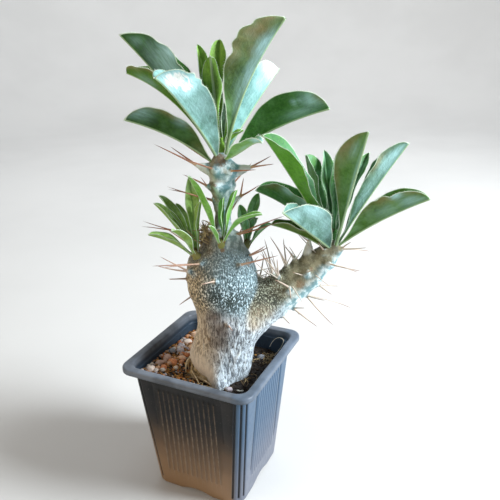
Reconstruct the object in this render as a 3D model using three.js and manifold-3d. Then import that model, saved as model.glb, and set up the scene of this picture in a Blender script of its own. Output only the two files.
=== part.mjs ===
// Potted kudu lily: a young caudex plant with a swollen trunk, one side branch, paired spines, two
// heads of large folded leaves and three small leafy shoots, in a square black nursery pot.
// Millimetres, +Z up. The origin is the middle of the pot's underside, and the pot's sides run along
// X and Y. The plant stands turned in its pot by PLANT_TURN. In the plant's own frame x runs along
// the side branch, y runs to the plant's back and z is the pot's z.
import * as THREE from 'three';
import { mergeVertices } from 'three/addons/utils/BufferGeometryUtils.js';
import Module from 'manifold-3d';

const wasm = await Module();
wasm.setup();

// Driving dimensions of the pot
const POT_HEIGHT = 92;
const RIM_WIDTH = 90;
const RIM_HEIGHT = 4;
const WALL_TOP_WIDTH = 79.6;
const BASE_WIDTH = 64;
const WALL = 1.3;
const FLOOR = 3.2;
const STEP_DEPTH = 6.4;
const RIB_PITCH = 3.5;
const RIBS_PER_SIDE = 12;
const GAP = 0.3;

// Driving dimensions of the plant
const PLANT_TURN = THREE.MathUtils.degToRad(25);
const BLADE = 0.7;
const SPINE_RADIUS = 0.75;
const SOIL_LEVEL = 79.6;
const SEED = 20;
const GRAIN_COUNT = 28;

const at = (x, y, z) => new THREE.Vector3(x, y, z);
const turnOf = (degrees) => THREE.MathUtils.degToRad(degrees);

// Seeded random numbers between 0 and 1, the same on each run
function randomStream(seed) {
  let state = seed;
  return () => {
    state = (state * 16807 + 11) % 2147483647;
    return state / 2147483647;
  };
}

// Closed body through a stack of rings with equal counts, each counter-clockwise seen from ahead
function loft(rings) {
  const count = rings[0].length;
  const points = rings.flat();
  const triangles = [];
  for (let level = 0; level + 1 < rings.length; level += 1) {
    for (let side = 0; side < count; side += 1) {
      const a = level * count + side;
      const b = level * count + ((side + 1) % count);
      triangles.push(a, b, b + count, a, b + count, a + count);
    }
  }
  const last = (rings.length - 1) * count;
  points.push(middleOf(rings[0]), middleOf(rings[rings.length - 1]));
  for (let side = 0; side < count; side += 1) {
    const next = (side + 1) % count;
    triangles.push(points.length - 2, next, side, points.length - 1, last + side, last + next);
  }
  return bodyFrom(points, triangles);
}

function middleOf(ring) {
  const middle = at(0, 0, 0);
  ring.forEach((point) => middle.add(point));
  return middle.divideScalar(ring.length);
}

function bodyFrom(points, triangles) {
  const geometry = new THREE.BufferGeometry();
  geometry.setFromPoints(points);
  geometry.setIndex(triangles);
  return geometry;
}

// A closed three.js geometry as a solid for joining and cutting, and a solid back as a geometry
function solidFrom(geometry) {
  const bare = geometry.clone();
  bare.deleteAttribute('normal');
  bare.deleteAttribute('uv');
  const merged = mergeVertices(bare, 1e-5);
  return new wasm.Manifold(new wasm.Mesh({
    numProp: 3,
    vertProperties: new Float32Array(merged.attributes.position.array),
    triVerts: new Uint32Array(merged.index.array),
  }));
}

function geometryFrom(solid) {
  const mesh = solid.getMesh();
  const geometry = new THREE.BufferGeometry();
  geometry.setAttribute('position', new THREE.BufferAttribute(mesh.vertProperties, 3));
  geometry.setIndex(new THREE.BufferAttribute(mesh.triVerts, 1));
  geometry.computeVertexNormals();
  return geometry;
}

const joined = (solids) => solids.reduce((whole, solid) => whole.add(solid));
const cutBy = (solid, tools) => tools.reduce((left, tool) => left.subtract(tool), solid);

// Square ring with round corners at one height, counter-clockwise seen from above
function squareRing(width, corner, z, cornerSteps = 4, sideSteps = 1) {
  const ring = [];
  const reach = width / 2 - corner;
  for (let quarter = 0; quarter < 4; quarter += 1) {
    const turn = quarter * Math.PI / 2;
    for (let step = 0; step <= cornerSteps; step += 1) {
      const angle = step / cornerSteps * Math.PI / 2;
      const point = at(reach + corner * Math.cos(angle), reach + corner * Math.sin(angle), z);
      ring.push(turned(point, turn));
    }
    for (let step = 1; step < sideSteps; step += 1) {
      const along = reach * (1 - 2 * step / sideSteps);
      ring.push(turned(at(along, width / 2, z), turn));
    }
  }
  return ring;
}

const turned = (point, angle) => point.clone().applyAxisAngle(at(0, 0, 1), angle);

// Outer width of the pot's wall, and inner width below the step, at a height
const UNDER_RIM = POT_HEIGHT - RIM_HEIGHT;
const outerWidth = (z) => THREE.MathUtils.mapLinear(z, 0, UNDER_RIM, BASE_WIDTH, WALL_TOP_WIDTH);
const innerWidth = (z) => outerWidth(z) - 2 * WALL;

const WALL_CORNER = 9;
const INNER_CORNER = 7.6;
const RIM_CORNER = 8;

function potShell() {
  const step = POT_HEIGHT - STEP_DEPTH;
  const edge = 0.8;
  return solidFrom(loft([
    squareRing(BASE_WIDTH, WALL_CORNER, 0),
    squareRing(WALL_TOP_WIDTH, WALL_CORNER, UNDER_RIM),
    squareRing(RIM_WIDTH - 1.2, RIM_CORNER, UNDER_RIM),
    squareRing(RIM_WIDTH, RIM_CORNER, UNDER_RIM + edge),
    squareRing(RIM_WIDTH, RIM_CORNER, POT_HEIGHT - edge),
    squareRing(RIM_WIDTH - 1.4, 7.4, POT_HEIGHT),
    squareRing(WALL_TOP_WIDTH, 6, POT_HEIGHT),
    squareRing(WALL_TOP_WIDTH - 1.8, 6.4, POT_HEIGHT - 1.4),
    squareRing(WALL_TOP_WIDTH - 2.2, 6.6, step),
    squareRing(innerWidth(step), INNER_CORNER, step),
    squareRing(innerWidth(FLOOR), INNER_CORNER, FLOOR),
  ]));
}

// Upright three-sided bar along the wall, with its edge standing out by height or sunk in by -height
function wallBar(x, halfWidth, height, low, high) {
  const sunk = height > 0 ? -0.4 : 0.4;
  const ring = (z) => {
    const face = outerWidth(z) / 2;
    const bar = [
      at(x - halfWidth, -face - sunk, z),
      at(x, -face - height, z),
      at(x + halfWidth, -face - sunk, z),
    ];
    return height > 0 ? bar : bar.reverse();
  };
  return solidFrom(loft([ring(low), ring(high)]));
}

// Upright groove in a rounded corner, at an angle round the corner's arc
function cornerGroove(angle, low, high) {
  const ring = (z) => {
    const middle = outerWidth(z) / 2 - WALL_CORNER;
    const outward = turned(at(1, 0, 0), angle);
    const across = turned(at(0, 1, 0), angle);
    const point = (radius, offset) => at(middle, middle, z)
      .addScaledVector(outward, radius).addScaledVector(across, offset);
    return [point(WALL_CORNER + 0.5, -0.9), point(WALL_CORNER + 0.5, 0.9), point(WALL_CORNER - 0.6, 0)];
  };
  return solidFrom(loft([ring(low), ring(high)]));
}

// Low arch cut into the bottom edge of a side, through which water drains
function drainArch() {
  const halfWidth = 11;
  const rise = 2.1;
  const depth = 5;
  const outline = new THREE.Shape();
  outline.moveTo(-halfWidth, -1);
  outline.lineTo(halfWidth, -1);
  outline.lineTo(halfWidth, 0);
  outline.quadraticCurveTo(0, 2 * rise, -halfWidth, 0);
  const form = { depth: depth + 2, bevelEnabled: false, curveSegments: 6 };
  const arch = new THREE.ExtrudeGeometry(outline, form);
  arch.rotateX(Math.PI / 2);
  arch.translate(0, -BASE_WIDTH / 2 + depth, 0);
  return solidFrom(arch);
}

// Ribs on each side, slots beside them, grooves in the corners, and drain arches and holes
const BAR_HALF_WIDTH = 0.9;
const BAR_HEIGHT = 0.6;
const RIBS_FROM = 14;
const RIBS_TO = 79;
const SLOT_TO = 82;
const GROOVE_ANGLES = [20, 45, 70];
const HOLE_RADIUS = 3.5;
const HOLE_PLACE = 19;

function pot() {
  const ribs = [];
  const cuts = [];
  for (let side = 0; side < 4; side += 1) {
    const turn = side * 90;
    const onFront = side % 2 === 0;
    const place = (solid) => solid.rotate([0, 0, turn]);
    for (let rib = 0; rib < RIBS_PER_SIDE; rib += 1) {
      const x = (rib - (RIBS_PER_SIDE - 1) / 2) * RIB_PITCH;
      ribs.push(place(wallBar(x, BAR_HALF_WIDTH, BAR_HEIGHT, RIBS_FROM, RIBS_TO)));
    }
    const slotLow = onFront ? 50 : 20;
    const slotPlace = RIBS_PER_SIDE * RIB_PITCH / 2 + 2.8;
    cuts.push(place(wallBar(-slotPlace, BAR_HALF_WIDTH, -BAR_HEIGHT, slotLow, SLOT_TO)));
    cuts.push(place(wallBar(slotPlace, BAR_HALF_WIDTH, -BAR_HEIGHT, slotLow, SLOT_TO)));
    GROOVE_ANGLES.forEach((angle) => cuts.push(place(cornerGroove(turnOf(angle), 4, 85))));
    cuts.push(place(drainArch()));
    const hole = new THREE.CylinderGeometry(HOLE_RADIUS, HOLE_RADIUS, 3 * FLOOR, 10);
    hole.rotateX(Math.PI / 2);
    hole.translate(HOLE_PLACE, HOLE_PLACE, 0);
    cuts.push(place(solidFrom(hole)));
  }
  return cutBy(joined([potShell(), ...ribs]), cuts);
}

// Trunk and main stem: height, centre x, centre y and radius of each ring in the plant's frame
const TRUNK_RINGS = [
  [46, 7, -5, 4],
  [54, 7, -5, 10],
  [66, 6.5, -5, 13.5],
  [76, 6, -5, 16.2],
  [83, 5.5, -5, 18.2],
  [92, 5, -5, 20.1],
  [100, 6.4, -5, 19.7],
  [108, 8.5, -5, 19.1],
  [116, 9.3, -5, 18.9],
  [124, 8, -5, 18.4],
  [131, 7, -5, 19.4],
  [138, 6.6, -5, 20.9],
  [146, 6.7, -5, 21.6],
  [153, 6.1, -5, 20.6],
  [158, 5.6, -5, 18.9],
  [162, 7.4, -5, 15.4],
  [166, 8.6, -4.5, 12.2],
  [170, 8.6, -4, 10.2],
  [172, 8.4, -4, 9],
];
const STEM_RINGS = [
  [160, 8.4, -4.4, 8],
  [170, 8.2, -4, 9.4],
  [174, 7.8, -3.6, 8],
  [179, 8, -3.2, 5.8],
  [185, 8.2, -3, 4.9],
  [190, 8.5, -3, 5.6],
  [195, 8.8, -3, 6.8],
  [198.5, 9, -3, 7.2],
  [201.5, 9.4, -3, 6.4],
  [205, 9.6, -3, 6.8],
  [209, 9.4, -3, 7.8],
  [213, 9, -3, 8.2],
  [216, 8.6, -3, 7.2],
  [219, 8.3, -3, 5.2],
  [222, 8.2, -3, 3.4],
];
// Side branch: x, y, z and radius of each ring along it
const BRANCH_RINGS = [
  [10, -6, 117, 13],
  [17, -5.5, 119.5, 16],
  [24, -4.5, 122.5, 16],
  [31, -2.5, 126, 14.4],
  [39, -1, 130, 12.8],
  [46, 0.5, 134, 11.8],
  [52, 2, 138, 11.2],
  [57.5, 3, 141.6, 10.4],
  [62.5, 4, 145.6, 9.4],
  [67, 5, 150, 8.2],
  [71, 5.6, 154, 6.8],
  [74, 6, 158, 5.4],
  [75.7, 6.2, 161.6, 4],
  [76.4, 6.3, 164.4, 3.2],
];

// Root lobes low on the trunk: direction in degrees, how far they stand out, and half spread
const ROOT_LOBES = [
  { toward: -97, reach: 8, spread: 20 },
  { toward: 58, reach: 3, spread: 34 },
  { toward: 170, reach: 2.4, spread: 26 },
];
const LOBE_HEIGHT = 76;
const LOBE_FADE = 13;

function trunkBody(grow = 0) {
  const sides = 18;
  return solidFrom(loft(TRUNK_RINGS.map(([z, x, y, radius]) => {
    const ring = [];
    const lobeShare = Math.exp(-(((z - LOBE_HEIGHT) / LOBE_FADE) ** 2));
    for (let side = 0; side < sides; side += 1) {
      const angle = side / sides * 2 * Math.PI;
      let reach = radius + grow + 0.5 * Math.sin(3 * angle + z / 9) + 0.35 * Math.sin(5 * angle - z / 6);
      ROOT_LOBES.forEach((lobe) => {
        const away = Math.abs(((THREE.MathUtils.radToDeg(angle) - lobe.toward + 540) % 360) - 180);
        reach += lobe.reach * lobeShare * Math.exp(-((away / lobe.spread) ** 2));
      });
      ring.push(at(x + reach * Math.cos(angle), y + reach * Math.sin(angle), z));
    }
    return ring;
  })));
}

// Round body along a line of [x, y, z, radius] rows, its rings square to the line
function roundBody(rows, sides, grow = 0) {
  const centres = rows.map(([x, y, z]) => at(x, y, z));
  return solidFrom(loft(rows.map((row, index) => {
    const before = centres[Math.max(index - 1, 0)];
    const after = centres[Math.min(index + 1, rows.length - 1)];
    const ahead = after.clone().sub(before).normalize();
    const across = at(0, 1, 0).addScaledVector(ahead, -ahead.y).normalize();
    const upward = ahead.clone().cross(across);
    const ring = [];
    for (let side = 0; side < sides; side += 1) {
      const angle = side / sides * 2 * Math.PI;
      ring.push(centres[index].clone()
        .addScaledVector(across, (row[3] + grow) * Math.cos(angle))
        .addScaledVector(upward, (row[3] + grow) * Math.sin(angle)));
    }
    return ring;
  })));
}

const stemRows = STEM_RINGS.map(([z, x, y, radius]) => [x, y, z, radius]);
const stemBody = (grow = 0) => roundBody(stemRows, 10, grow);
const branchBody = (grow = 0) => roundBody(BRANCH_RINGS, 12, grow);

// Spines: each row is a tubercle with its foot inside the stem, its top, and the spines' tips. root is
// the radius of its foot, where the tubercle is a broad wing of the stem.
const TUBERCLES = [
  // Below the top leaves, at the left and at the right
  { foot: [8.6, -3.4, 205.6], top: [-6, -5, 215], root: 7, tips: [[-28, -14, 229], [-21, 0, 225]] },
  { foot: [8, -4, 209], top: [3.6, -11.6, 214.6], tips: [[-12, -19, 222]] },
  { foot: [8, -3, 209], top: [3, 4, 215], tips: [[-20, 5, 230]] },
  { foot: [9.6, -3.4, 205.4], top: [26, -5, 213.2], root: 7, tips: [[38, -14, 217], [37, -1, 219]] },
  { foot: [9, -4, 208], top: [14, -11.4, 213.4], tips: [[28, -23, 216]] },
  // Halfway up the main stem
  { foot: [8.6, -3.4, 195], top: [-1.6, -5.6, 201.8], root: 5.6, tips: [[-13, -15, 212]] },
  { foot: [8, -3, 190], top: [1.4, -4, 196.6], tips: [[-22, -16.4, 205.6], [-24, 2.5, 199]] },
  { foot: [8.6, -3.4, 190], top: [17, -5.4, 195.4], root: 5, tips: [[30, -13, 205], [21, -16, 210]] },
  { foot: [7, -3, 182], top: [12.4, -5.5, 186.5], tips: [[18, -10, 197]] },
  { foot: [8.6, -3, 194], top: [13, 6, 200], tips: [[26, 14, 212], [10, 20, 214]] },
  { foot: [7.5, -3, 189], top: [5, 3, 192], tips: [[-6, 17, 203], [8, 22, 199]] },
  { foot: [8, -3, 206], top: [10, 7, 212.5], tips: [[20, 21, 221], [1, 24, 222]] },
  // Left shoulder of the trunk
  { foot: [2, -4, 164], top: [-6, -1, 171], tips: [[-41, 4, 179], [-43, 9, 174]] },
  { foot: [4, -5, 162], top: [-2.5, -6, 177.5], tips: [[-4, -12, 184]] },
  { foot: [-1, -12, 147], top: [-13, -19, 155.5], tips: [[-27.5, -25, 167], [-30, -27, 162.5]] },
  { foot: [0, -10, 154], top: [-5, -20.5, 160.5], tips: [[-31, -32, 164], [-24, -37, 165]] },
  { foot: [0, -2, 152], top: [-11, 8, 161], tips: [[-30, 18, 170], [-24, 24, 163]] },
  // Right shoulder of the trunk
  { foot: [9, -5, 168], top: [16, -8, 174], tips: [[44, -15, 187], [44, -4, 181]] },
  { foot: [12, -10, 153], top: [18.5, -22, 160], tips: [[40, -31, 169]] },
  { foot: [14, -7, 155], top: [23.4, -10, 161], tips: [[33, -18, 170], [35, -7, 165]] },
  { foot: [10, 0, 154], top: [14, 13, 162], tips: [[22, 28, 172], [8, 31, 169]] },
  { foot: [4, 2, 140], top: [-2, 15.5, 145], tips: [[-10, 32, 152]] },
  { foot: [12, 2, 132], top: [21, 12.6, 138], tips: [[30, 28, 146]] },
  // Trunk sides
  { foot: [5, -12, 149], top: [4, -26.5, 151.5], tips: [[-4, -36, 154]] },
  { foot: [0, -8, 145], top: [-14.5, -10, 146.5], tips: [[-24, -19, 150], [-27, -2, 143]] },
  { foot: [0, -9, 137], top: [-11, -15, 138], tips: [[-19, -21, 134]] },
  { foot: [8, -8, 120], top: [10, -24.5, 122], tips: [[13, -30, 121]] },
  // Upper side of the branch
  { foot: [37, 0, 131], top: [37.6, -3, 145.5], tips: [[31, -12, 167], [33, 5, 166]] },
  { foot: [40, 0, 134], top: [41.4, -6, 145], tips: [[30, -15, 164], [40, -11, 159]] },
  { foot: [46, 1, 136], top: [46.5, 0.4, 150], tips: [[36, -5, 171], [45, 9, 165]] },
  { foot: [51, 2, 139], top: [52, 3, 153], tips: [[46, 9, 159]] },
  { foot: [60, 4, 146], top: [60.6, 3.6, 164], tips: [[55, -1, 170], [61.5, 9, 169]] },
  { foot: [68, 5, 150], top: [69.6, 1.4, 159], tips: [[65, -4, 167]] },
  { foot: [30, 0, 128], top: [29.5, 5.6, 139.5], tips: [[24, 12, 155], [33, 16, 152]] },
  // Outer end of the branch
  { foot: [74, 6, 154], top: [80.5, 4.6, 158.5], tips: [[86, 0, 165], [95, -5, 163], [101, 12, 154]] },
  { foot: [66, 4, 149], top: [72, -3.5, 152.4], tips: [[81, -15, 154], [92, -6, 148]] },
  { foot: [67, 5, 148], top: [76, 6, 148], tips: [[94, 13, 139]] },
  { foot: [70, 6, 152], top: [72.5, 13, 156], tips: [[80, 28, 163], [66, 30, 162]] },
  // Underside and front of the branch
  { foot: [58, 4, 141], top: [66.4, 3, 136], tips: [[75, -3, 131], [82, 12, 130]] },
  { foot: [54, 3, 139], top: [59, 1, 129.5], tips: [[76, -11, 113], [91, 9, 115], [70, -9, 130]] },
  { foot: [45, 1, 133], top: [50.8, -1.4, 121.6], tips: [[66, -10, 112], [57, -15, 128], [56, 9, 111]] },
  { foot: [38, 0, 129], top: [43, -7, 120], tips: [[48, -15, 117]] },
  { foot: [47, 1, 135], top: [47.6, -11, 140], tips: [[38, -19, 149], [48, -20, 137]] },
  { foot: [57, 3, 142], top: [59, -6.4, 148.4], tips: [[61, -17, 154]] },
  { foot: [44, 2, 133], top: [43, 13, 136], tips: [[38, 28, 144], [50, 30, 141]] },
  { foot: [55, 4, 141], top: [56, 14.5, 144], tips: [[50, 29, 152], [63, 30, 150]] },
  { foot: [34, 0, 127], top: [33, 11.6, 120], tips: [[30, 26, 113], [41, 27, 114]] },
];

// Needle with three sides, its root sunk in its tubercle
function needle(root, tip) {
  const ahead = tip.clone().sub(root).normalize();
  const across = at(0, 0, 1).cross(ahead).normalize();
  const upward = ahead.clone().cross(across);
  const ring = [0, 1, 2].map((corner) => {
    const angle = corner / 3 * 2 * Math.PI;
    return root.clone()
      .addScaledVector(across, SPINE_RADIUS * Math.cos(angle))
      .addScaledVector(upward, SPINE_RADIUS * Math.sin(angle));
  });
  return solidFrom(bodyFrom([...ring, tip], [0, 2, 1, 0, 1, 3, 1, 2, 3, 2, 0, 3]));
}

// Cone from inside the stem out to the spines' roots: four-sided, or rounder where it is a broad wing
function tubercleCone(foot, top, root) {
  const rootRadius = root ?? Math.min(9, 0.6 * foot.distanceTo(top));
  const rows = [[...foot.toArray(), rootRadius], [...top.toArray(), 0.9]];
  return roundBody(rows, root ? 8 : 4);
}

function tubercles() {
  return TUBERCLES.flatMap((row) => {
    const foot = at(...row.foot);
    const top = at(...row.top);
    const rooted = top.clone().lerp(foot, 1.5 / foot.distanceTo(top));
    return [tubercleCone(foot, top, row.root), ...row.tips.map((tip) => needle(rooted, at(...tip)))];
  });
}

// A leaf is a thin blade folded along its midrib. It runs from its foot to its tip along a low arch.
// rise, stand: height of its foot, and how far that stands from the shoot's axis.
// width: of one half. widest: where along the blade it is widest, as a share.
// slim, taper: how slender the blade is towards its foot, and how pointed towards its tip.
// fold: how far each half stands up, in degrees.
// roll: turn of the whole leaf about its length. wave, phase: how far and where the margins swing.
// hook: how far the tip bends down.
const LEAF_FORM = {
  stand: 1.6, widest: 0.65, slim: 0.8, taper: 0.55, arch: 2, fold: 58, roll: 0,
  wave: 0.8, waves: 2.2, phase: 0, hook: 0,
};
const TIP_CROWDING = 1.35;
const FULL_BLADE = { rows: 10, across: [-1, -0.55, 0, 0.55, 1] };
const SMALL_BLADE = { rows: 6, across: [-1, 0, 1] };

// axis: middle of the shoot that carries the leaf. The leaf's foot stands a little to its side.
function leafBlade(axis, row, detail) {
  const leaf = { ...LEAF_FORM, ...row };
  const tip = at(...leaf.tip);
  const outward = at(tip.x - axis.x, tip.y - axis.y, 0).normalize();
  const foot = at(axis.x, axis.y, leaf.rise).addScaledVector(outward, leaf.stand);
  const chord = tip.clone().sub(foot);
  const ahead = chord.clone().normalize();
  const upright = at(0, 0, 1).addScaledVector(ahead, -ahead.z).normalize();
  upright.applyAxisAngle(ahead, turnOf(leaf.roll));
  const aside = ahead.clone().cross(upright);
  const midrib = (s) => foot.clone().addScaledVector(chord, s)
    .addScaledVector(upright, leaf.arch * 4 * s * (1 - s) - leaf.hook * s ** 10);
  const sections = [];
  for (let station = 0; station < detail.rows; station += 1) {
    const s = 1 - (1 - station / (detail.rows - 1)) ** TIP_CROWDING;
    const forward = midrib(Math.min(s + 0.01, 1)).sub(midrib(Math.max(s - 0.01, 0))).normalize();
    const lift = aside.clone().cross(forward);
    const place = ([x, y]) => midrib(s).addScaledVector(aside, x).addScaledVector(lift, y);
    sections.push(leafSection(leaf, s, detail.across).map((face) => face.map(place)));
  }
  return solidFrom(bladeBody(sections));
}

// Share of the full width along the blade
function bladeShare(s, { widest, slim, taper }) {
  if (s < widest) return ((1 - Math.cos(Math.PI * s / widest)) / 2) ** slim;
  return (1 - ((s - widest) / (1 - widest)) ** 2) ** taper;
}

// Lower and upper face of one cross section, as points [aside, up] across the leaf
function leafSection(leaf, s, across) {
  const petiole = 1.25;
  const halfWidth = Math.max(leaf.width * bladeShare(s, leaf), petiole * (1 - s) + 0.3);
  const openness = THREE.MathUtils.smoothstep(s, 0, 0.3);
  const fold = turnOf(THREE.MathUtils.lerp(30, leaf.fold, openness));
  const middle = across.map((u) => {
    const out = Math.abs(u) * halfWidth;
    const flare = turnOf(10) * Math.abs(u);
    const swing = leaf.wave * u * u * openness
      * Math.sin(leaf.waves * 2 * Math.PI * s + leaf.phase + (u > 0 ? 0 : 2));
    const angle = fold - flare;
    return [
      Math.sign(u) * (out * Math.cos(angle) - swing * Math.sin(angle)),
      out * Math.sin(angle) + swing * Math.cos(angle),
    ];
  });
  return [offsetLine(middle, -BLADE / 2), offsetLine(middle, BLADE / 2)];
}

// Open line moved square to itself by a distance, with mitred corners
function offsetLine(line, distance) {
  return line.map(([x, y], index) => {
    const normals = [];
    [[index - 1, index], [index, index + 1]].forEach(([from, to]) => {
      if (from < 0 || to >= line.length) return;
      const run = [line[to][0] - line[from][0], line[to][1] - line[from][1]];
      const length = Math.hypot(...run);
      normals.push([-run[1] / length, run[0] / length]);
    });
    const share = 1 / normals.length;
    const mean = [0, 1].map((axis) => normals.reduce((sum, normal) => sum + share * normal[axis], 0));
    const scale = distance / Math.max(mean[0] ** 2 + mean[1] ** 2, 0.3);
    return [x + mean[0] * scale, y + mean[1] * scale];
  });
}

// Closed body between a lower and an upper face, split into triangles alike on both
function bladeBody(sections) {
  const width = sections[0][0].length;
  const points = sections.flatMap(([lower, upper]) => [...lower, ...upper]);
  const lowerAt = (row, column) => row * 2 * width + column;
  const upperAt = (row, column) => lowerAt(row, column) + width;
  const triangles = [];
  const quad = (a, b, c, d) => triangles.push(a, b, c, a, c, d);
  for (let row = 0; row + 1 < sections.length; row += 1) {
    for (let column = 0; column + 1 < width; column += 1) {
      const next = column + 1;
      quad(upperAt(row, column), upperAt(row, next), upperAt(row + 1, next), upperAt(row + 1, column));
      triangles.push(lowerAt(row, column), lowerAt(row + 1, next), lowerAt(row, next));
      triangles.push(lowerAt(row, column), lowerAt(row + 1, column), lowerAt(row + 1, next));
    }
    const edge = width - 1;
    quad(lowerAt(row, edge), lowerAt(row + 1, edge), upperAt(row + 1, edge), upperAt(row, edge));
    quad(lowerAt(row + 1, 0), lowerAt(row, 0), upperAt(row, 0), upperAt(row + 1, 0));
  }
  const last = sections.length - 1;
  for (let column = 0; column + 1 < width; column += 1) {
    const next = column + 1;
    quad(lowerAt(0, column), lowerAt(0, next), upperAt(0, next), upperAt(0, column));
    quad(lowerAt(last, next), lowerAt(last, column), upperAt(last, column), upperAt(last, next));
  }
  return bodyFrom(points, triangles);
}

// Heads of the two stems: axis of the leafy end, its large leaves from the lowest to the highest,
// and the bud of young leaves on top, which is one piece round a short core
const HEADS = {
  top: {
    axis: { x: 8.2, y: -3 },
    leaves: [
      { tip: [-43.3, -11.5, 241.9], rise: 213.2, width: 14, widest: 0.63, slim: 0.9,
        arch: 3.6, fold: 63, roll: 18, phase: 0.4 },
      { tip: [68.2, -9, 245.9], rise: 217.3, width: 17.6, widest: 0.66, slim: 0.9,
        arch: 3.7, fold: 62, roll: -24, wave: 0.6, phase: 1 },
      { tip: [-3, 54, 242], rise: 214.6, width: 13, arch: 3, fold: 54, phase: 2 },
      { tip: [-51, 44, 262.9], rise: 216, width: 12.3, widest: 0.68, slim: 0.5, taper: 0.4,
        arch: 7.8, fold: 64, roll: 9, phase: 3 },
      { tip: [29.8, -33, 235.3], rise: 217.5, width: 6.4, widest: 0.63, slim: 0.7,
        arch: -1, fold: 45, roll: 2, phase: 1, hook: 3 },
      { tip: [-45, 3.8, 285.2], rise: 218.2, width: 18, slim: 0.45, taper: 0.7,
        arch: 2.8, fold: 69, roll: 9, wave: 1.2, phase: 1.2 },
      { tip: [43.5, 45.8, 263.9], rise: 218.3, width: 16, widest: 0.8, slim: 0.6, taper: 0.67,
        arch: 0.8, fold: 56, roll: -49 },
      { tip: [-21.1, -35.8, 266.5], rise: 218.9, stand: 2.6, width: 16.7, widest: 0.69, slim: 0.5,
        arch: 2, fold: 63, roll: 8, wave: 1.2, phase: 2.6, hook: 1.5 },
      { tip: [42.6, -27, 291.8], rise: 219, stand: 2.8, width: 18.8, widest: 0.79, slim: 1.05, taper: 0.77,
        arch: 4.7, fold: 60, roll: 11, wave: 1.4, phase: 0.5 },
    ],
    bud: {
      axis: [[8.2, -3, 222.4, 2.4], [8.2, -3, 226, 2], [8.2, -3, 230, 1.2]],
      leaves: [
        { tip: [21, 3, 233], rise: 224, width: 3, arch: 1 },
        { tip: [21, 12, 250.2], rise: 225, width: 4, arch: 1 },
        { tip: [4.2, -6, 273.8], rise: 226.4, width: 8.3, widest: 0.77, slim: 1, taper: 0.35,
          arch: -1.7, fold: 65, roll: 60 },
        { tip: [-4.1, 15, 279.5], rise: 227.2, width: 4.5, widest: 0.79, slim: 0.9,
          arch: 0.8, fold: 48, roll: -10 },
        { tip: [8.8, 12, 281.9], rise: 228, width: 6.5, widest: 0.8, slim: 1, taper: 0.45,
          fold: 52, roll: -14 },
      ],
    },
  },
  branch: {
    axis: { x: 75.8, y: 6.2 },
    leaves: [
      { tip: [126.3, -15.4, 195.7], rise: 159.5, width: 14.6, widest: 0.63, slim: 0.9,
        arch: 2.2, fold: 74, roll: -5, wave: 1.2, phase: 0.6 },
      { tip: [37.2, -2.7, 177.8], rise: 156.8, width: 8.8, widest: 0.63, arch: 2.1, fold: 45 },
      { tip: [28.4, 19.7, 193], rise: 159.5, width: 15, slim: 0.6, taper: 0.5,
        arch: 4.5, fold: 60, roll: 10, phase: 1 },
      { tip: [86.2, 60.2, 202.2], rise: 157.5, width: 13, arch: 3, fold: 51, phase: 2 },
      { tip: [41.7, -37.3, 195.6], rise: 158.7, width: 16.6, widest: 0.49, taper: 0.74,
        arch: 0.1, fold: 71, roll: 3, wave: 0.5, phase: 1 },
      { tip: [118.5, 8.7, 223.3], rise: 161.6, stand: 2.8, width: 13.2, widest: 0.73, taper: 0.5,
        arch: 0.9, fold: 58, roll: -19, phase: 2.4 },
      { tip: [32.1, -12.9, 232.8], rise: 162.3, width: 13.5, widest: 0.69, slim: 0.7, taper: 0.62,
        arch: 1.2, fold: 52, roll: -24, phase: 1.5 },
      { tip: [88.1, -21.3, 234.9], rise: 160, stand: 2.8, width: 14.6, widest: 0.74, slim: 1.4, taper: 0.7,
        arch: 0, fold: 75, roll: 14, wave: 0.6, phase: 0.8 },
    ],
    bud: {
      axis: [[76.5, 6.3, 164.8, 2.4], [77.2, 6.4, 168, 2], [77.8, 6.5, 171, 1.2]],
      leaves: [
        { tip: [102.5, 41, 211.3], rise: 167.3, width: 6, arch: 1, fold: 52, roll: -2 },
        { tip: [58.9, 18, 215.3], rise: 167, width: 12, widest: 0.74, slim: 0.85, taper: 0.36,
          arch: -2, fold: 43, roll: 17, phase: 2 },
        { tip: [71, 25, 216.4], rise: 168, width: 6, arch: 1, fold: 50 },
        { tip: [79.5, 19, 217], rise: 169, width: 5, arch: 1, fold: 50, phase: 1 },
      ],
    },
  },
};

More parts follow.
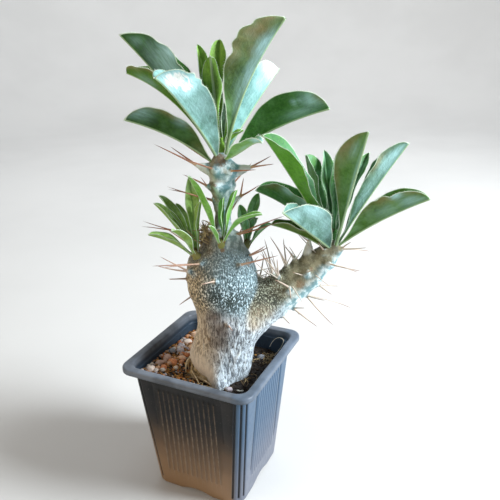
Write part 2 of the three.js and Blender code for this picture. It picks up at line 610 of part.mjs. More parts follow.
// Small shoots: axis from inside the trunk to the shoot's tip, and the leaves round it
const SHOOTS = {
  left_shoot: {
    axis: [[-3, -10, 156, 4], [-8, -12.5, 162.5, 2.8], [-9.5, -13, 166, 1.3]],
    leaves: [
      { tip: [-34, -19, 178], rise: 162, width: 5.5, arch: 2 },
      { tip: [-19.5, -27, 183], rise: 163, width: 5, arch: 2 },
      { tip: [-31, -10, 194], rise: 164, width: 5.5, arch: 1.5 },
      { tip: [-29.5, 1, 195.5], rise: 164, width: 5, arch: 2 },
      { tip: [-3.6, -11, 195.2], rise: 165, width: 4.5, arch: 1 },
      { tip: [-10.5, -3, 208], rise: 165, width: 5, arch: 1 },
      { tip: [-20, 3, 190], rise: 163, width: 4, arch: 1 },
    ],
  },
  centre_shoot: {
    axis: [[8, -10, 162, 4], [7.2, -14.5, 170, 2.5], [7, -15.5, 173.5, 1.3]],
    leaves: [
      { tip: [-9.5, -20, 212], rise: 172, width: 5.5, arch: 1 },
      { tip: [9.5, -13.6, 198], rise: 173, width: 4, arch: 0.5 },
      { tip: [17, -13, 202], rise: 172, width: 4.5, arch: 0.5 },
      { tip: [31, -23, 190.5], rise: 171, width: 4.5, arch: 4 },
      { tip: [1, -22, 184], rise: 170, width: 2.6, arch: 0.5 },
    ],
  },
  back_shoot: {
    axis: [[15, 0, 156, 4], [22, 5, 162, 2.6], [23.5, 6, 165.5, 1.3]],
    leaves: [
      { tip: [30, 20, 191], rise: 163, width: 4.5, arch: 1 },
      { tip: [29, 10, 178], rise: 164, width: 4, arch: 1 },
      { tip: [21, 9, 179], rise: 164, width: 3, arch: 0.5 },
      { tip: [37, 6, 175.5], rise: 162, width: 4, arch: 1 },
      { tip: [18, 19, 184], rise: 163, width: 4, arch: 1 },
    ],
  },
};

function leafyShoot({ axis, leaves }) {
  const [x, y] = axis[1];
  const young = { fold: 45, wave: 0.4 };
  const blades = leaves.map((leaf) => leafBlade({ x, y }, { ...young, ...leaf }, SMALL_BLADE));
  return joined([roundBody(axis, 8), ...blades]);
}

// Soil surface: higher at the -X wall, with low mounds
function soilHeight(x, y) {
  return SOIL_LEVEL - 0.07 * x - 0.06 * y + 0.7 * Math.sin(x / 5.1 + 1) * Math.cos(y / 4.3);
}

function soilBody() {
  const ring = (z) => squareRing(innerWidth(z) - 2 * GAP, INNER_CORNER - GAP, z, 3, 4);
  const rings = [ring(FLOOR + GAP)];
  [1, 0.86, 0.7, 0.54, 0.38, 0.2].forEach((share) => {
    rings.push(ring(SOIL_LEVEL).map((point) => {
      const height = soilHeight(share * point.x, share * point.y);
      const scale = share * innerWidth(height) / innerWidth(SOIL_LEVEL);
      return at(scale * point.x, scale * point.y, height);
    }));
  });
  return solidFrom(loft(rings));
}

// Larger stones on the soil in the pot's frame: x, y, and half length, half width, half height
const PEBBLES = [
  [-30.5, 27, 3.6, 2.8, 2.2],
  [-31, 16.5, 3.2, 2.6, 2.2],
  [-24.6, 11, 3, 2.4, 2],
  [-31, 8, 3.4, 2.8, 2.4],
  [-27.6, 1.6, 2.8, 2.4, 2],
  [-32.4, -1.6, 2.6, 2.4, 2],
  [-31.5, -9.6, 3.2, 2.6, 2.2],
  [-25.2, -12, 3.6, 2.8, 2.2],
  [-22.4, -5, 2.8, 2.2, 1.8],
  [-31.8, -18, 3, 2.4, 2],
  [-26, -22, 2.6, 2.2, 1.8],
  [-31.6, -28, 3, 2.6, 2],
  [21, -22, 2.4, 2, 1.6],
  [22, 25, 2.8, 2.4, 2],
];
const PEBBLE_SINK = 0.35;

function pebbleBody([x, y, length, width, height], index, grow = 0) {
  const stone = new THREE.DodecahedronGeometry(1);
  stone.deleteAttribute('normal');
  stone.deleteAttribute('uv');
  const merged = mergeVertices(stone, 1e-4);
  const places = merged.attributes.position;
  for (let corner = 0; corner < places.count; corner += 1) {
    const point = at(places.getX(corner), places.getY(corner), places.getZ(corner));
    const lump = 1 + 0.07 * Math.sin(3.1 * point.x + 2 * index) + 0.06 * Math.sin(4.3 * point.y - index);
    const shaped = at(point.x * length * lump, point.y * width * lump, point.z * height * lump);
    shaped.addScaledVector(point, grow);
    places.setXYZ(corner, shaped.x, shaped.y, shaped.z);
  }
  merged.rotateZ(turnOf(47 * index));
  merged.translate(x, y, soilHeight(x, y) + height * PEBBLE_SINK);
  return solidFrom(merged);
}

// Grit: small angular grains set into the soil, clear of the trunk and of the larger stones
function gritGrains() {
  const random = randomStream(SEED);
  const grains = [];
  const placed = PEBBLES.map(([x, y, length]) => [x, y, length + 0.6]);
  const [trunkX, trunkY] = turned(at(TRUNK_RINGS[3][1], TRUNK_RINGS[3][2], 0), PLANT_TURN).toArray();
  placed.push([trunkX, trunkY, 26]);
  while (grains.length < GRAIN_COUNT) {
    const radius = 0.8 + 0.9 * random();
    const x = (random() - 0.5) * 68;
    const y = (random() - 0.5) * 68;
    if (placed.some(([px, py, reach]) => Math.hypot(px - x, py - y) < reach + radius)) continue;
    placed.push([x, y, radius]);
    const grain = new THREE.OctahedronGeometry(radius);
    grain.scale(1 + 0.5 * random(), 1, 0.8);
    grain.rotateX(random() * 3);
    grain.rotateZ(random() * 3);
    grain.translate(x, y, soilHeight(x, y) + 0.15 * radius);
    grains.push(solidFrom(grain));
  }
  return grains;
}

// Materials
function material(color, roughness) {
  return new THREE.MeshStandardMaterial({ color, roughness, metalness: 0 });
}
const PLASTIC = () => material(0x1b1d22, 0.45);
const SOIL = () => material(0x5a4330, 0.95);
const BARK = () => material(0x8f9484, 0.8);
const LEAF = () => material(0x5f8f52, 0.5);
const YOUNG_LEAF = () => material(0x7da650, 0.5);
const STONE_COLOURS = [0xb98a70, 0xc9a488, 0x9a6048, 0x8b8a88, 0xd0b49c];

const whole = new THREE.Group();
const plant = new THREE.Group();
plant.rotation.z = PLANT_TURN;
whole.add(plant);

function addNode(parent, name, solid, finish) {
  const mesh = new THREE.Mesh(geometryFrom(solid), finish);
  mesh.name = name;
  parent.add(mesh);
}

const numbered = (name, index) => `${name}_${String(index + 1).padStart(2, '0')}`;

addNode(whole, 'pot', pot(), PLASTIC());

const turnDegrees = THREE.MathUtils.radToDeg(PLANT_TURN);
const rootHole = trunkBody(GAP).rotate([0, 0, turnDegrees]);
const pebbleNests = PEBBLES.map((row, index) => pebbleBody(row, index, GAP + 0.05));
addNode(whole, 'soil', cutBy(joined([soilBody(), ...gritGrains()]), [rootHole, ...pebbleNests]), SOIL());
PEBBLES.forEach((row, index) => {
  const colour = STONE_COLOURS[index % STONE_COLOURS.length];
  addNode(whole, numbered('pebble', index), pebbleBody(row, index), material(colour, 0.8));
});

const caudex = joined([trunkBody(), stemBody(), branchBody(), ...tubercles()]);
addNode(plant, 'caudex', caudex, BARK());

const stemCutter = stemBody(GAP);
const branchCutter = branchBody(GAP);
Object.entries(HEADS).forEach(([name, head]) => {
  const cutter = name === 'top' ? stemCutter : branchCutter;
  head.leaves.forEach((leaf, index) => {
    const blade = leafBlade(head.axis, leaf, FULL_BLADE).subtract(cutter);
    addNode(plant, numbered(`${name}_leaf`, index), blade, LEAF());
  });
  addNode(plant, `${name}_bud`, leafyShoot(head.bud), YOUNG_LEAF());
});
const trunkCutter = joined([trunkBody(GAP), stemCutter, branchCutter]);
Object.entries(SHOOTS).forEach(([name, row]) => {
  addNode(plant, name, leafyShoot(row).subtract(trunkCutter), YOUNG_LEAF());
});

export default whole;
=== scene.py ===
"""Looks of the potted kudu lily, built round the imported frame.

Lengths are millimetres until a mesh is made. The plant stands turned in its pot by PLANT_TURN. In the
plant's own frame x runs along the side branch, y runs to the plant's back and z is the pot's z.
"""

import math
import random

import bmesh
import bpy
import numpy as np
from mathutils import Matrix, Vector, noise


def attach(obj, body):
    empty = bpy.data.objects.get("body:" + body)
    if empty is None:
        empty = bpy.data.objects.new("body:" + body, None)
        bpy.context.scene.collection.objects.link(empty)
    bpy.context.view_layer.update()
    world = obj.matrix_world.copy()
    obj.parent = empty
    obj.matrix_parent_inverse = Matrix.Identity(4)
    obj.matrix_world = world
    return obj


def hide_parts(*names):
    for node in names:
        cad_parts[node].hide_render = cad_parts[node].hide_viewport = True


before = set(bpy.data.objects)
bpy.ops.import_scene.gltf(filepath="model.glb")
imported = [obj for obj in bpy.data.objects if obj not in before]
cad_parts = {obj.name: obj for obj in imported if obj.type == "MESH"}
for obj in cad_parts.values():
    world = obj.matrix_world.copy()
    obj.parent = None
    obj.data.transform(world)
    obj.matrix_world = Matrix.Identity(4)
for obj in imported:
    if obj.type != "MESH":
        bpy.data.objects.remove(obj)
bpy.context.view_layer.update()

MM = 0.001
PLANT_TURN = math.radians(25)
UP = np.array([0.0, 0.0, 1.0])


# Small helpers on arrays of points

def unit(vectors):
    length = np.linalg.norm(vectors, axis=-1, keepdims=True)
    return vectors / np.maximum(length, 1e-9)


def turned(vector, axis, angle):
    """A vector turned about a unit axis"""
    across = np.cross(axis, vector)
    along = axis * np.dot(axis, vector)
    return along + (vector - along) * math.cos(angle) + across * math.sin(angle)


def spun(points, angle):
    """Points turned about the upright through the pot's middle"""
    c, s = math.cos(angle), math.sin(angle)
    x, y, z = np.moveaxis(np.asarray(points, float), -1, 0)
    return np.stack([c * x - s * y, s * x + c * y, z], axis=-1)


def to_pot(points):
    """Points in the plant's frame as points in the pot's frame"""
    return spun(points, PLANT_TURN)


def smoothstep(value, low, high):
    share = np.clip((value - low) / (high - low), 0, 1)
    return share * share * (3 - 2 * share)


def bell(value, width):
    return np.exp(-((value / width) ** 2))


def noise_at(points, scale, seed=0.0):
    """Smooth noise from -1 to 1 at each point, with features of about scale millimetres"""
    shift = Vector((seed * 13.7, seed * 7.3, seed * 3.1))
    flat = np.asarray(points, float).reshape(-1, 3) / scale
    return np.array([noise.noise(Vector(point) + shift) for point in flat]).reshape(np.shape(points)[:-1])


def curve_through(rows, steps):
    """Smooth line through rows of numbers, with the same number of steps between each two"""
    rows = np.asarray(rows, float)
    padded = np.vstack([2 * rows[0] - rows[1], rows, 2 * rows[-1] - rows[-2]])
    line = []
    for index in range(1, len(padded) - 2):
        before, start, end, after = padded[index - 1:index + 3]
        for t in np.arange(steps) / steps:
            line.append(0.5 * (2 * start + (end - before) * t
                               + (2 * before - 5 * start + 4 * end - after) * t ** 2
                               + (3 * start - before - 3 * end + after) * t ** 3))
    return np.array(line + [rows[-1]])


# Meshes

def linked(name, data):
    """New object in the scene"""
    made = bpy.data.objects.new(name, data)
    bpy.context.scene.collection.objects.link(made)
    return made


def evaluated_mesh(piece):
    """What the piece's modifiers make of its mesh"""
    graph = bpy.context.evaluated_depsgraph_get()
    return bpy.data.meshes.new_from_object(piece.evaluated_get(graph))


class Build:
    """Points, faces and named values of one piece, gathered from several shapes"""

    def __init__(self, *names):
        self.points = []
        self.faces = []
        self.values = {name: [] for name in names}
        self.count = 0

    def add(self, points, faces, **values):
        points = np.asarray(points, float).reshape(-1, 3)
        self.points.append(points)
        self.faces += [[self.count + corner for corner in face] for face in faces]
        for name, kept in self.values.items():
            kept.append(np.broadcast_to(np.ravel(values.get(name, 0.0)), len(points)))
        self.count += len(points)

    def finish(self, name, material, slot, nodes=(), smooth=True):
        mesh = bpy.data.meshes.new(name)
        mesh.from_pydata((np.concatenate(self.points) * MM).tolist(), [], self.faces)
        for key, kept in self.values.items():
            layer = mesh.attributes.new(key, "FLOAT", "POINT")
            layer.data.foreach_set("value", np.concatenate(kept).astype(np.float32))
        mesh.validate()
        if smooth:
            mesh.shade_smooth()
        mesh.materials.append(material)
        piece = linked(name, mesh)
        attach(piece, "root")
        if nodes:
            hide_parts(*nodes)
        return piece


def ring_faces(rings, corners):
    """Quads between rings of points, each with the same number of corners"""
    faces = []
    for ring in range(rings - 1):
        low, high = ring * corners, (ring + 1) * corners
        for corner in range(corners):
            after = (corner + 1) % corners
            faces.append([low + corner, low + after, high + after, high + corner])
    return faces


def body(rings):
    """Closed body through rings of points, as points and faces"""
    rings = np.asarray(rings, float)
    count, corners = rings.shape[:2]
    last = (count - 1) * corners
    caps = [list(range(corners))[::-1], list(range(last, last + corners))]
    return rings.reshape(-1, 3), ring_faces(count, corners) + caps


def tube(path, radii, sides=8):
    """Closed round tube along a path, as points and faces"""
    path = np.asarray(path, float)
    ahead = unit(np.gradient(path, axis=0))
    guide = np.array([0.31, 0.17, 0.94]) if abs(ahead[0][2]) < 0.9 else np.array([1.0, 0.1, 0.0])
    across = unit(np.cross(ahead, guide))
    upward = np.cross(ahead, across)
    angles = np.linspace(0, 2 * math.pi, sides, endpoint=False)
    ring = across[:, None] * np.cos(angles)[:, None] + upward[:, None] * np.sin(angles)[:, None]
    return body(path[:, None] + ring * np.asarray(radii, float)[:, None, None])


# Materials

class Finish:
    """A procedural material: each method adds nodes and gives the socket that they put out"""

    def __init__(self, name, roughness=0.6, **sockets):
        self.material = bpy.data.materials.new(name)
        self.material.use_nodes = True
        self.tree = self.material.node_tree
        self.shader = self.tree.nodes["Principled BSDF"]
        self.shader.inputs["Roughness"].default_value = roughness
        for socket, value in sockets.items():
            self.shader.inputs[socket.replace("_", " ")].default_value = value

    def node(self, kind, inputs=(), output=0, **settings):
        made = self.tree.nodes.new("ShaderNode" + kind)
        for key, value in settings.items():
            setattr(made, key, value)
        for key, value in dict(inputs).items():
            if isinstance(value, bpy.types.NodeSocket):
                self.tree.links.new(value, made.inputs[key])
            else:
                made.inputs[key].default_value = value
        return made.outputs[output]

    def place(self, stretch=(1, 1, 1)):
        """Place on the piece in millimetres, squeezed by stretch"""
        coordinates = self.node("TexCoord", output="Object")
        return self.node("Mapping", {"Vector": coordinates, "Scale": [s / MM for s in stretch]})

    def along(self, axis):
        """Place along one axis in millimetres"""
        return self.node("SeparateXYZ", {"Vector": self.place()}, output=axis)

    def value(self, name):
        return self.node("Attribute", output="Fac", attribute_name=name)

    def noise(self, size, place=None, detail=3, rough=0.55, warp=0.0):
        return self.node("TexNoise", {"Vector": place or self.place(), "Scale": 1 / size, "Detail": detail,
                                      "Roughness": rough, "Distortion": warp})

    def math(self, operation, first, second=0.0, third=0.0):
        return self.node("Math", {0: first, 1: second, 2: third}, operation=operation)

    def scaled(self, value, factor, start):
        """Value times factor, plus start"""
        return self.math("MULTIPLY_ADD", value, factor, start)

    def times(self, first, *others):
        for other in others:
            first = self.math("MULTIPLY", first, other)
        return first

    def span(self, value, low, high, to_low=0.0, to_high=1.0):
        """The value from low to high as to_low to to_high, with soft ends"""
        return self.node("MapRange", {"Value": value, "From Min": low, "From Max": high, "To Min": to_low,
                                      "To Max": to_high}, interpolation_type="SMOOTHSTEP")

    def mix(self, share, first, second):
        """The first colour, with the second over it by a share"""
        first, second = ((*colour, 1) if isinstance(colour, tuple) else colour for colour in (first, second))
        return self.node("Mix", {0: share, 6: first, 7: second}, output=2, data_type="RGBA")

    def over(self, colour, *coats):
        """A colour under coats, each with its own colour and the shares whose product it covers by"""
        for coat, *shares in coats:
            colour = self.mix(self.times(*shares), colour, coat)
        return colour

    def bump(self, height, depth, under=None):
        """Relief of a height from 0 to 1, depth in millimetres"""
        inputs = {"Height": height, "Distance": depth * MM, "Strength": 1.0}
        if under:
            inputs["Normal"] = under
        return self.node("Bump", inputs)

    def done(self, colour, roughness=None, normal=None):
        for socket, value in (("Base Color", colour), ("Roughness", roughness), ("Normal", normal)):
            if value is not None:
                self.tree.links.new(value, self.shader.inputs[socket])
        return self.material


def tinted(colour, factor):
    return tuple(factor * part for part in colour)


# Camera, light and floor

CAMERA_DISTANCE = 411.0
CAMERA_AZIMUTH = math.radians(24.88)
CAMERA_ELEVATION = math.radians(20.74)
CAMERA_ROLL = math.radians(-0.78)
CAMERA_ASIDE = 24.0
CAMERA_UP = 150.3
FOCAL_PIXELS = 576.6
IMAGE_PIXELS = 500
SENSOR = 36.0
NEAREST = 0.01


def add_camera():
    level, rise = math.cos(CAMERA_ELEVATION), math.sin(CAMERA_ELEVATION)
    back = np.array([math.sin(CAMERA_AZIMUTH) * level, -math.cos(CAMERA_AZIMUTH) * level, rise])
    right = unit(np.cross(-back, UP))
    upward = np.cross(right, -back)
    place = back * CAMERA_DISTANCE + right * CAMERA_ASIDE + upward * CAMERA_UP
    columns = turned(right, back, CAMERA_ROLL), turned(upward, back, CAMERA_ROLL), back, place * MM
    camera = linked("camera", bpy.data.cameras.new("camera"))
    camera.data.sensor_width = SENSOR
    camera.data.lens = FOCAL_PIXELS / IMAGE_PIXELS * SENSOR
    camera.data.clip_start = NEAREST
    camera.matrix_world = Matrix(np.column_stack(columns).tolist() + [[0, 0, 0, 1]])
    bpy.context.scene.camera = camera


# In metres: name, place, aim, size, watts and colour of each lamp
AIM = (0, 0, 0.16)
LAMPS = [
    ("window", (0.91, 0.24, 0.76), AIM, 0.5, 28.5, (0.90, 0.96, 1.0)),
    ("front_fill", (-0.62, -0.95, 0.40), AIM, 0.7, 5.0, (1.0, 0.82, 0.60)),
    ("backdrop", (-0.2, 0.7, 1.5), (-0.9, 2.2, 0.3), 1.0, 22.0, (0.96, 0.98, 1.0)),
]
SKY = (0.90, 0.93, 0.97, 1)
SKY_STRENGTH = 0.28


def add_lights():
    world = bpy.data.worlds.new("studio")
    world.use_nodes = True
    sky = world.node_tree.nodes["Background"]
    sky.inputs["Color"].default_value = SKY
    sky.inputs["Strength"].default_value = SKY_STRENGTH
    bpy.context.scene.world = world
    bpy.context.scene.view_settings.view_transform = "Standard"
    for name, place, aim, size, watts, colour in LAMPS:
        light = bpy.data.lights.new(name, "AREA")
        light.shape = "DISK"
        light.size = size
        light.energy = watts
        light.color = colour
        lamp = linked(name, light)
        lamp.location = place
        lamp.rotation_euler = (Vector(aim) - Vector(place)).to_track_quat("-Z", "Y").to_euler()


# The floor is flat round the pot and curves up all round, in metres
FLOOR_RADIUS = 1.5
FLOOR_BEND = 0.9
FLOOR_CORNERS = 96
FLOOR_DROP = 0.0004
WALL_TOP = 2.4


def add_floor():
    finish = Finish("pale_floor", roughness=0.8)
    shade = finish.span(finish.noise(300), 0.3, 0.7)
    colour = finish.mix(shade, (0.60, 0.595, 0.585), (0.64, 0.635, 0.625))
    finish.done(colour, normal=finish.bump(finish.noise(2), 0.04))
    bend = [(FLOOR_RADIUS + FLOOR_BEND * math.sin(a), FLOOR_BEND * (1 - math.cos(a)))
            for a in np.linspace(0, math.pi / 2, 14)]
    rows = [(0.3, 0), (0.9, 0), *bend, (FLOOR_RADIUS + FLOOR_BEND, WALL_TOP)]
    angles = np.linspace(0, 2 * math.pi, FLOOR_CORNERS, endpoint=False)
    points = [(radius * math.cos(a), radius * math.sin(a), z - FLOOR_DROP)
              for radius, z in rows for a in angles]
    sides = [face[::-1] for face in ring_faces(len(rows), FLOOR_CORNERS)]
    mesh = bpy.data.meshes.new("floor")
    mesh.from_pydata(points, [], [list(range(FLOOR_CORNERS))] + sides)
    mesh.shade_smooth()
    mesh.materials.append(finish.material)
    linked("floor", mesh)


add_camera()
add_lights()
add_floor()


# Pot: rounded square rings, with ribs, slots and grooves raised from the wall or sunk in it

POT_HEIGHT = 92.0
RIM_WIDTH = 90.0
RIM_HEIGHT = 4.0
UNDER_RIM = POT_HEIGHT - RIM_HEIGHT
WALL_TOP_WIDTH = 79.6
BASE_WIDTH = 64.0
LEAN = (WALL_TOP_WIDTH - BASE_WIDTH) / 2 / UNDER_RIM
WALL = 1.3
POT_FLOOR = 3.2
STEP_DEPTH = 6.4
WALL_CORNER = 9.0
INNER_CORNER = 7.6
RIB_PITCH = 3.5
RIBS_PER_SIDE = 12
RIB_HEIGHT = 0.75
RIB_HALF_WIDTH = 0.72
RIBS_FROM, RIBS_TO = 14.0, 79.0
SLOT_PLACE = RIBS_PER_SIDE * RIB_PITCH / 2 + 2.8
SLOT_HALF_WIDTH = 1.1
SHORT_SLOT_DEPTH = 0.35
LONG_SLOT_DEPTH = 0.9
LONG_SLOT_SIDE_RIBS = 10
LOW_RIB_HEIGHT = 0.32
SLOT_TO = 82.0
LONG_SLOT_FROM, SHORT_SLOT_FROM = 20.0, 50.0
GROOVE_ANGLES = (20, 45, 70)
GROOVE_DEPTH = 0.8
GROOVE_HALF_WIDTH = 0.9
GROOVES_FROM, GROOVES_TO = 4.0, 85.0
ARCH_HALF_WIDTH = 11.0
ARCH_RISE = 2.1
ARCH_DEPTH = 5.0
HOLE_RADIUS = 3.5
HOLE_PLACE = 19.0
CORNER_STEPS = 33
HALF_FADE = 0.6
# Farther than anything here, and the place along the side or the corner of a point that isn't on it
FAR = 1e3


def outer_width(z):
    return BASE_WIDTH + 2 * LEAN * z


def inner_width(z):
    return outer_width(z) - 2 * WALL


def side_stations(reach):
    """Places along a straight side, close together on the ribs and the slots"""
    ribs = (np.arange(RIBS_PER_SIDE) - (RIBS_PER_SIDE - 1) / 2) * RIB_PITCH
    middle = np.add.outer(ribs, RIB_HALF_WIDTH * np.array([-1, -0.62, -0.3, 0, 0.3, 0.62, 1])).ravel()
    slot = SLOT_PLACE + SLOT_HALF_WIDTH * np.array([-1, -0.55, 0, 0.55, 1])
    if slot[-1] > reach - 0.1:
        slot = np.linspace(middle[-1], reach, len(slot) + 2)[1:-1]
    outer = np.append(slot, reach)
    return np.concatenate([-outer[::-1], middle, outer])


def square_ring(width, corner):
    """Rounded square: points, outward directions, place along the side, arc angle and side number"""
    reach = width / 2 - corner
    x = side_stations(reach)
    degrees = 90 * np.arange(1, CORNER_STEPS) / CORNER_STEPS
    arc_out = np.column_stack([np.sin(np.radians(degrees)), -np.cos(np.radians(degrees))])
    points = np.vstack([np.column_stack([x, 0 * x - width / 2]), [reach, -reach] + corner * arc_out])
    outward = np.vstack([np.column_stack([0 * x, 0 * x - 1]), arc_out])
    turns = [np.array([[c, s], [-s, c]]) for c, s in ((1, 0), (0, 1), (-1, 0), (0, -1))]
    points, outward = (np.vstack([quarter @ turn for turn in turns]) for quarter in (points, outward))
    along = np.tile(np.append(x, 0 * degrees + FAR), 4)
    arc = np.tile(np.append(0 * x + FAR, degrees), 4)
    return points, outward, along, arc, np.repeat(range(4), len(x) + len(degrees))


def window(z, low, high):
    """1 between two heights and 0 outside them, with soft ends"""
    start = smoothstep(z, low - HALF_FADE, low + HALF_FADE)
    return start * (1 - smoothstep(z, high - HALF_FADE, high + HALF_FADE))


def wall_relief(z, along, arc, side_of):
    """How far the outer wall stands out at each point of a ring"""
    short = side_of % 2 == 0
    last_rib = np.where(short, RIBS_PER_SIDE - 1, LONG_SLOT_SIDE_RIBS - 1) / 2
    nearest = np.clip(np.floor(along / RIB_PITCH) + 0.5, -last_rib, last_rib)
    off = (along - nearest * RIB_PITCH) / RIB_HALF_WIDTH
    relief = np.where(short, RIB_HEIGHT, LOW_RIB_HEIGHT) * np.sqrt(np.clip(1 - off ** 2, 0, 1))
    relief *= window(z, RIBS_FROM, RIBS_TO)
    slot_place = np.where(short, SLOT_PLACE, (last_rib + 1) * RIB_PITCH)
    off = (np.abs(along) - slot_place) / np.where(short, SLOT_HALF_WIDTH, RIB_HALF_WIDTH)
    depth = np.where(short, SHORT_SLOT_DEPTH, LONG_SLOT_DEPTH)
    depth = depth * window(z, np.where(short, SHORT_SLOT_FROM, LONG_SLOT_FROM), SLOT_TO)
    relief -= depth * np.clip(1 - off ** 2, 0, 1)
    for angle in GROOVE_ANGLES:
        off = np.radians(arc - angle) * WALL_CORNER / GROOVE_HALF_WIDTH
        relief -= GROOVE_DEPTH * np.clip(1 - off ** 2, 0, 1) * window(z, GROOVES_FROM, GROOVES_TO)
    return relief


def rounded_edge(start, corner, end):
    """Points [half width, z] that round the corner between two points"""
    t = np.linspace(0, 1, 5)[:, None]
    return (1 - t) ** 2 * start + 2 * t * (1 - t) * corner + t ** 2 * end


def pot_profile():
    """Rows of half width, corner radius, height, share of outer relief, share of inner relief"""
    heights = [1.2, 3.4, 4.6, 13.4, 14, 14.6, 19.4, 20.6, 30, 40, 49.4, 50.6, 60, 70,
               78.4, 79, 79.6, 81.4, 82.6, 84.4, 85.6]
    rows = [(outer_width(z) / 2, WALL_CORNER, z, 1, 0) for z in heights]
    wall, rim, step = WALL_TOP_WIDTH / 2, RIM_WIDTH / 2, POT_HEIGHT - STEP_DEPTH
    inside, ledge = wall - 0.9, inner_width(step) / 2
    edges = [
        ((wall - 0.1, UNDER_RIM - 0.9), (wall, UNDER_RIM), (wall + 0.9, UNDER_RIM)),
        ((rim - 1.0, UNDER_RIM), (rim, UNDER_RIM), (rim, UNDER_RIM + 1.0)),
        ((rim, POT_HEIGHT - 1.5), (rim, POT_HEIGHT), (rim - 1.5, POT_HEIGHT)),
        ((wall + 1.4, POT_HEIGHT), (wall, POT_HEIGHT), (wall - 0.3, POT_HEIGHT - 1.0)),
        ((inside - 0.1, step + 0.8), (inside - 0.2, step), (inside - 0.8, step)),
        ((ledge + 0.5, step), (ledge, step), (ledge, step - 0.6)),
    ]
    for half, z in np.vstack([rounded_edge(*np.array(edge)) for edge in edges]):
        meets_wall = z < UNDER_RIM + 0.01 and wall - 0.2 < half < wall + 1
        corner = np.interp(half, [ledge, wall, rim], [INNER_CORNER, 6.8, 8.4])
        rows.append((half, WALL_CORNER if meets_wall else corner, z, 0, 0))
    inner_heights = (84, 82, 79.6, 76, 60, 30, POT_FLOOR + 0.8)
    rows += [(inner_width(z) / 2, INNER_CORNER, z, 0, 1) for z in inner_heights]
    return rows + [(inner_width(POT_FLOOR) / 2 - 0.8, 7.0, POT_FLOOR, 0, 0)]


def plastic():
    """Satin black with painted light: a bright bluish reflection on the window side and inside, highlights
    on the scuffed rib crests and rim, shade in the slots and grooves, and a warm reflection low down
    """
    finish = Finish("black_plastic", IOR=1.5, Specular_IOR_Level=0.2)
    dust_and_sheen = finish.noise(12, detail=5)
    rub_and_glint = finish.noise(2.2, detail=4)
    relief, inside = finish.value("relief"), finish.value("inside")
    across, height = finish.along("X"), finish.along("Z")
    # side: painted reflection, a bright bluish tint on the wall facing the window, weaker near the rim
    side = finish.span(finish.scaled(height, -LEAN, across), 24.6, 27.6)
    side = finish.times(side, finish.span(height, 86, 88.5, 1, 0.35))
    # low: painted warm reflection on the wall low down, its upper edge broken by noise
    low = finish.span(finish.scaled(dust_and_sheen, 16, height), 10, 72, 1, 0)
    # crest: painted highlight on the rib crests, broken by scuffs and fainter on the window side
    crest = finish.times(finish.span(relief, 0.45, 0.75), finish.span(side, 0, 1, 1, 0.2))
    speck = finish.span(finish.noise(0.8, detail=1), 0.66, 0.76)
    colour = finish.over(
        finish.mix(finish.span(dust_and_sheen, 0.35, 0.75), (0.006, 0.006, 0.006), (0.015, 0.013, 0.012)),
        # Painted reflection: the inside of the wall and the rim's inner flank tinted blue
        ((0.045, 0.07, 0.105), inside, 0.8),
        # Painted reflection: the rim's top lighter and bluish, patchy like scuffs
        ((0.175, 0.2, 0.24), finish.span(height, 87, 90), finish.span(dust_and_sheen, 0.3, 0.6, 0.45, 0.8)),
        # Painted warm reflection low down
        ((0.25, 0.152, 0.082), low),
        # Painted reflection on the window side
        ((0.09, 0.165, 0.27), side, 0.64),
        # Painted highlight on the scuffed rib crests, fainter higher up
        ((0.21, 0.155, 0.11), crest, finish.span(rub_and_glint, 0.35, 0.65, 0.25, 0.95),
         finish.span(height, 45, 80, 1, 0.4)),
        # Painted shade in the slots and grooves
        ((0.003, 0.003, 0.004), finish.span(relief, -0.5, -0.12, 0.9, 0)),
        ((0.16, 0.14, 0.12), speck, 0.3))
    roughness = finish.span(finish.noise(5, detail=6), 0.3, 0.75, 0.28, 0.4)
    fine, broad = finish.noise(0.35, detail=2), finish.noise(16)
    return finish.done(colour, roughness, finish.bump(fine, 0.012, finish.bump(broad, 0.2)))


def add_pot():
    bottom, _, along, _, _ = square_ring(BASE_WIDTH, WALL_CORNER)
    under = square_ring(BASE_WIDTH - 2 * ARCH_DEPTH, WALL_CORNER - 4)[0]
    arch = ARCH_RISE * np.clip(1 - (along / ARCH_HALF_WIDTH) ** 2, 0, 1)
    flat = 0 * arch
    feet = [(under * 0.985, flat), (under, arch * 0.999), (bottom * 0.995, arch), (bottom, arch + 0.3)]
    rings = [np.column_stack(foot) for foot in feet]
    reliefs, insides = [flat] * len(rings), [flat] * len(rings)
    for half, corner, z, outer_share, inner_share in pot_profile():
        points, outward, along, arc, side_of = square_ring(2 * half, corner)
        relief = outer_share * wall_relief(z, along, arc, side_of)
        relief += 0.8 * inner_share * wall_relief(z, along, 0 * arc + FAR, side_of)
        height = np.maximum(z, arch + 0.9) if z < ARCH_RISE + 1 else flat + z
        rings.append(np.column_stack([points + outward * relief[:, None], height]))
        reliefs.append(relief)
        insides.append(flat + float(z > UNDER_RIM - 4.5 and half < WALL_TOP_WIDTH / 2 - 0.6 or inner_share))
    build = Build("relief", "inside")
    build.add(*body(rings), relief=reliefs, inside=insides)
    cut_holes(build.finish("pot_shell", plastic(), "pot", ["pot"]))


def cut_holes(pot):
    """Round drain holes through the pot's floor"""
    cutter = bmesh.new()
    for x in (-HOLE_PLACE, HOLE_PLACE):
        for y in (-HOLE_PLACE, HOLE_PLACE):
            place = Matrix.Translation((x * MM, y * MM, POT_FLOOR / 2 * MM))
            bmesh.ops.create_cone(cutter, cap_ends=True, segments=32, radius1=HOLE_RADIUS * MM,
                                  radius2=HOLE_RADIUS * MM, depth=3 * POT_FLOOR * MM, matrix=place)
    mesh = bpy.data.meshes.new("holes")
    cutter.to_mesh(mesh)
    cutter.free()
    cut = pot.modifiers.new("holes", "BOOLEAN")
    cut.object = linked("holes", mesh)
    cut.solver = "EXACT"
    drained = evaluated_mesh(pot)
    bpy.data.objects.remove(cut.object)
    pot.modifiers.clear()
    pot.data = drained


add_pot()


# Caudex: trunk, main stem and side branch as one smooth body, with tubercles that carry the spines

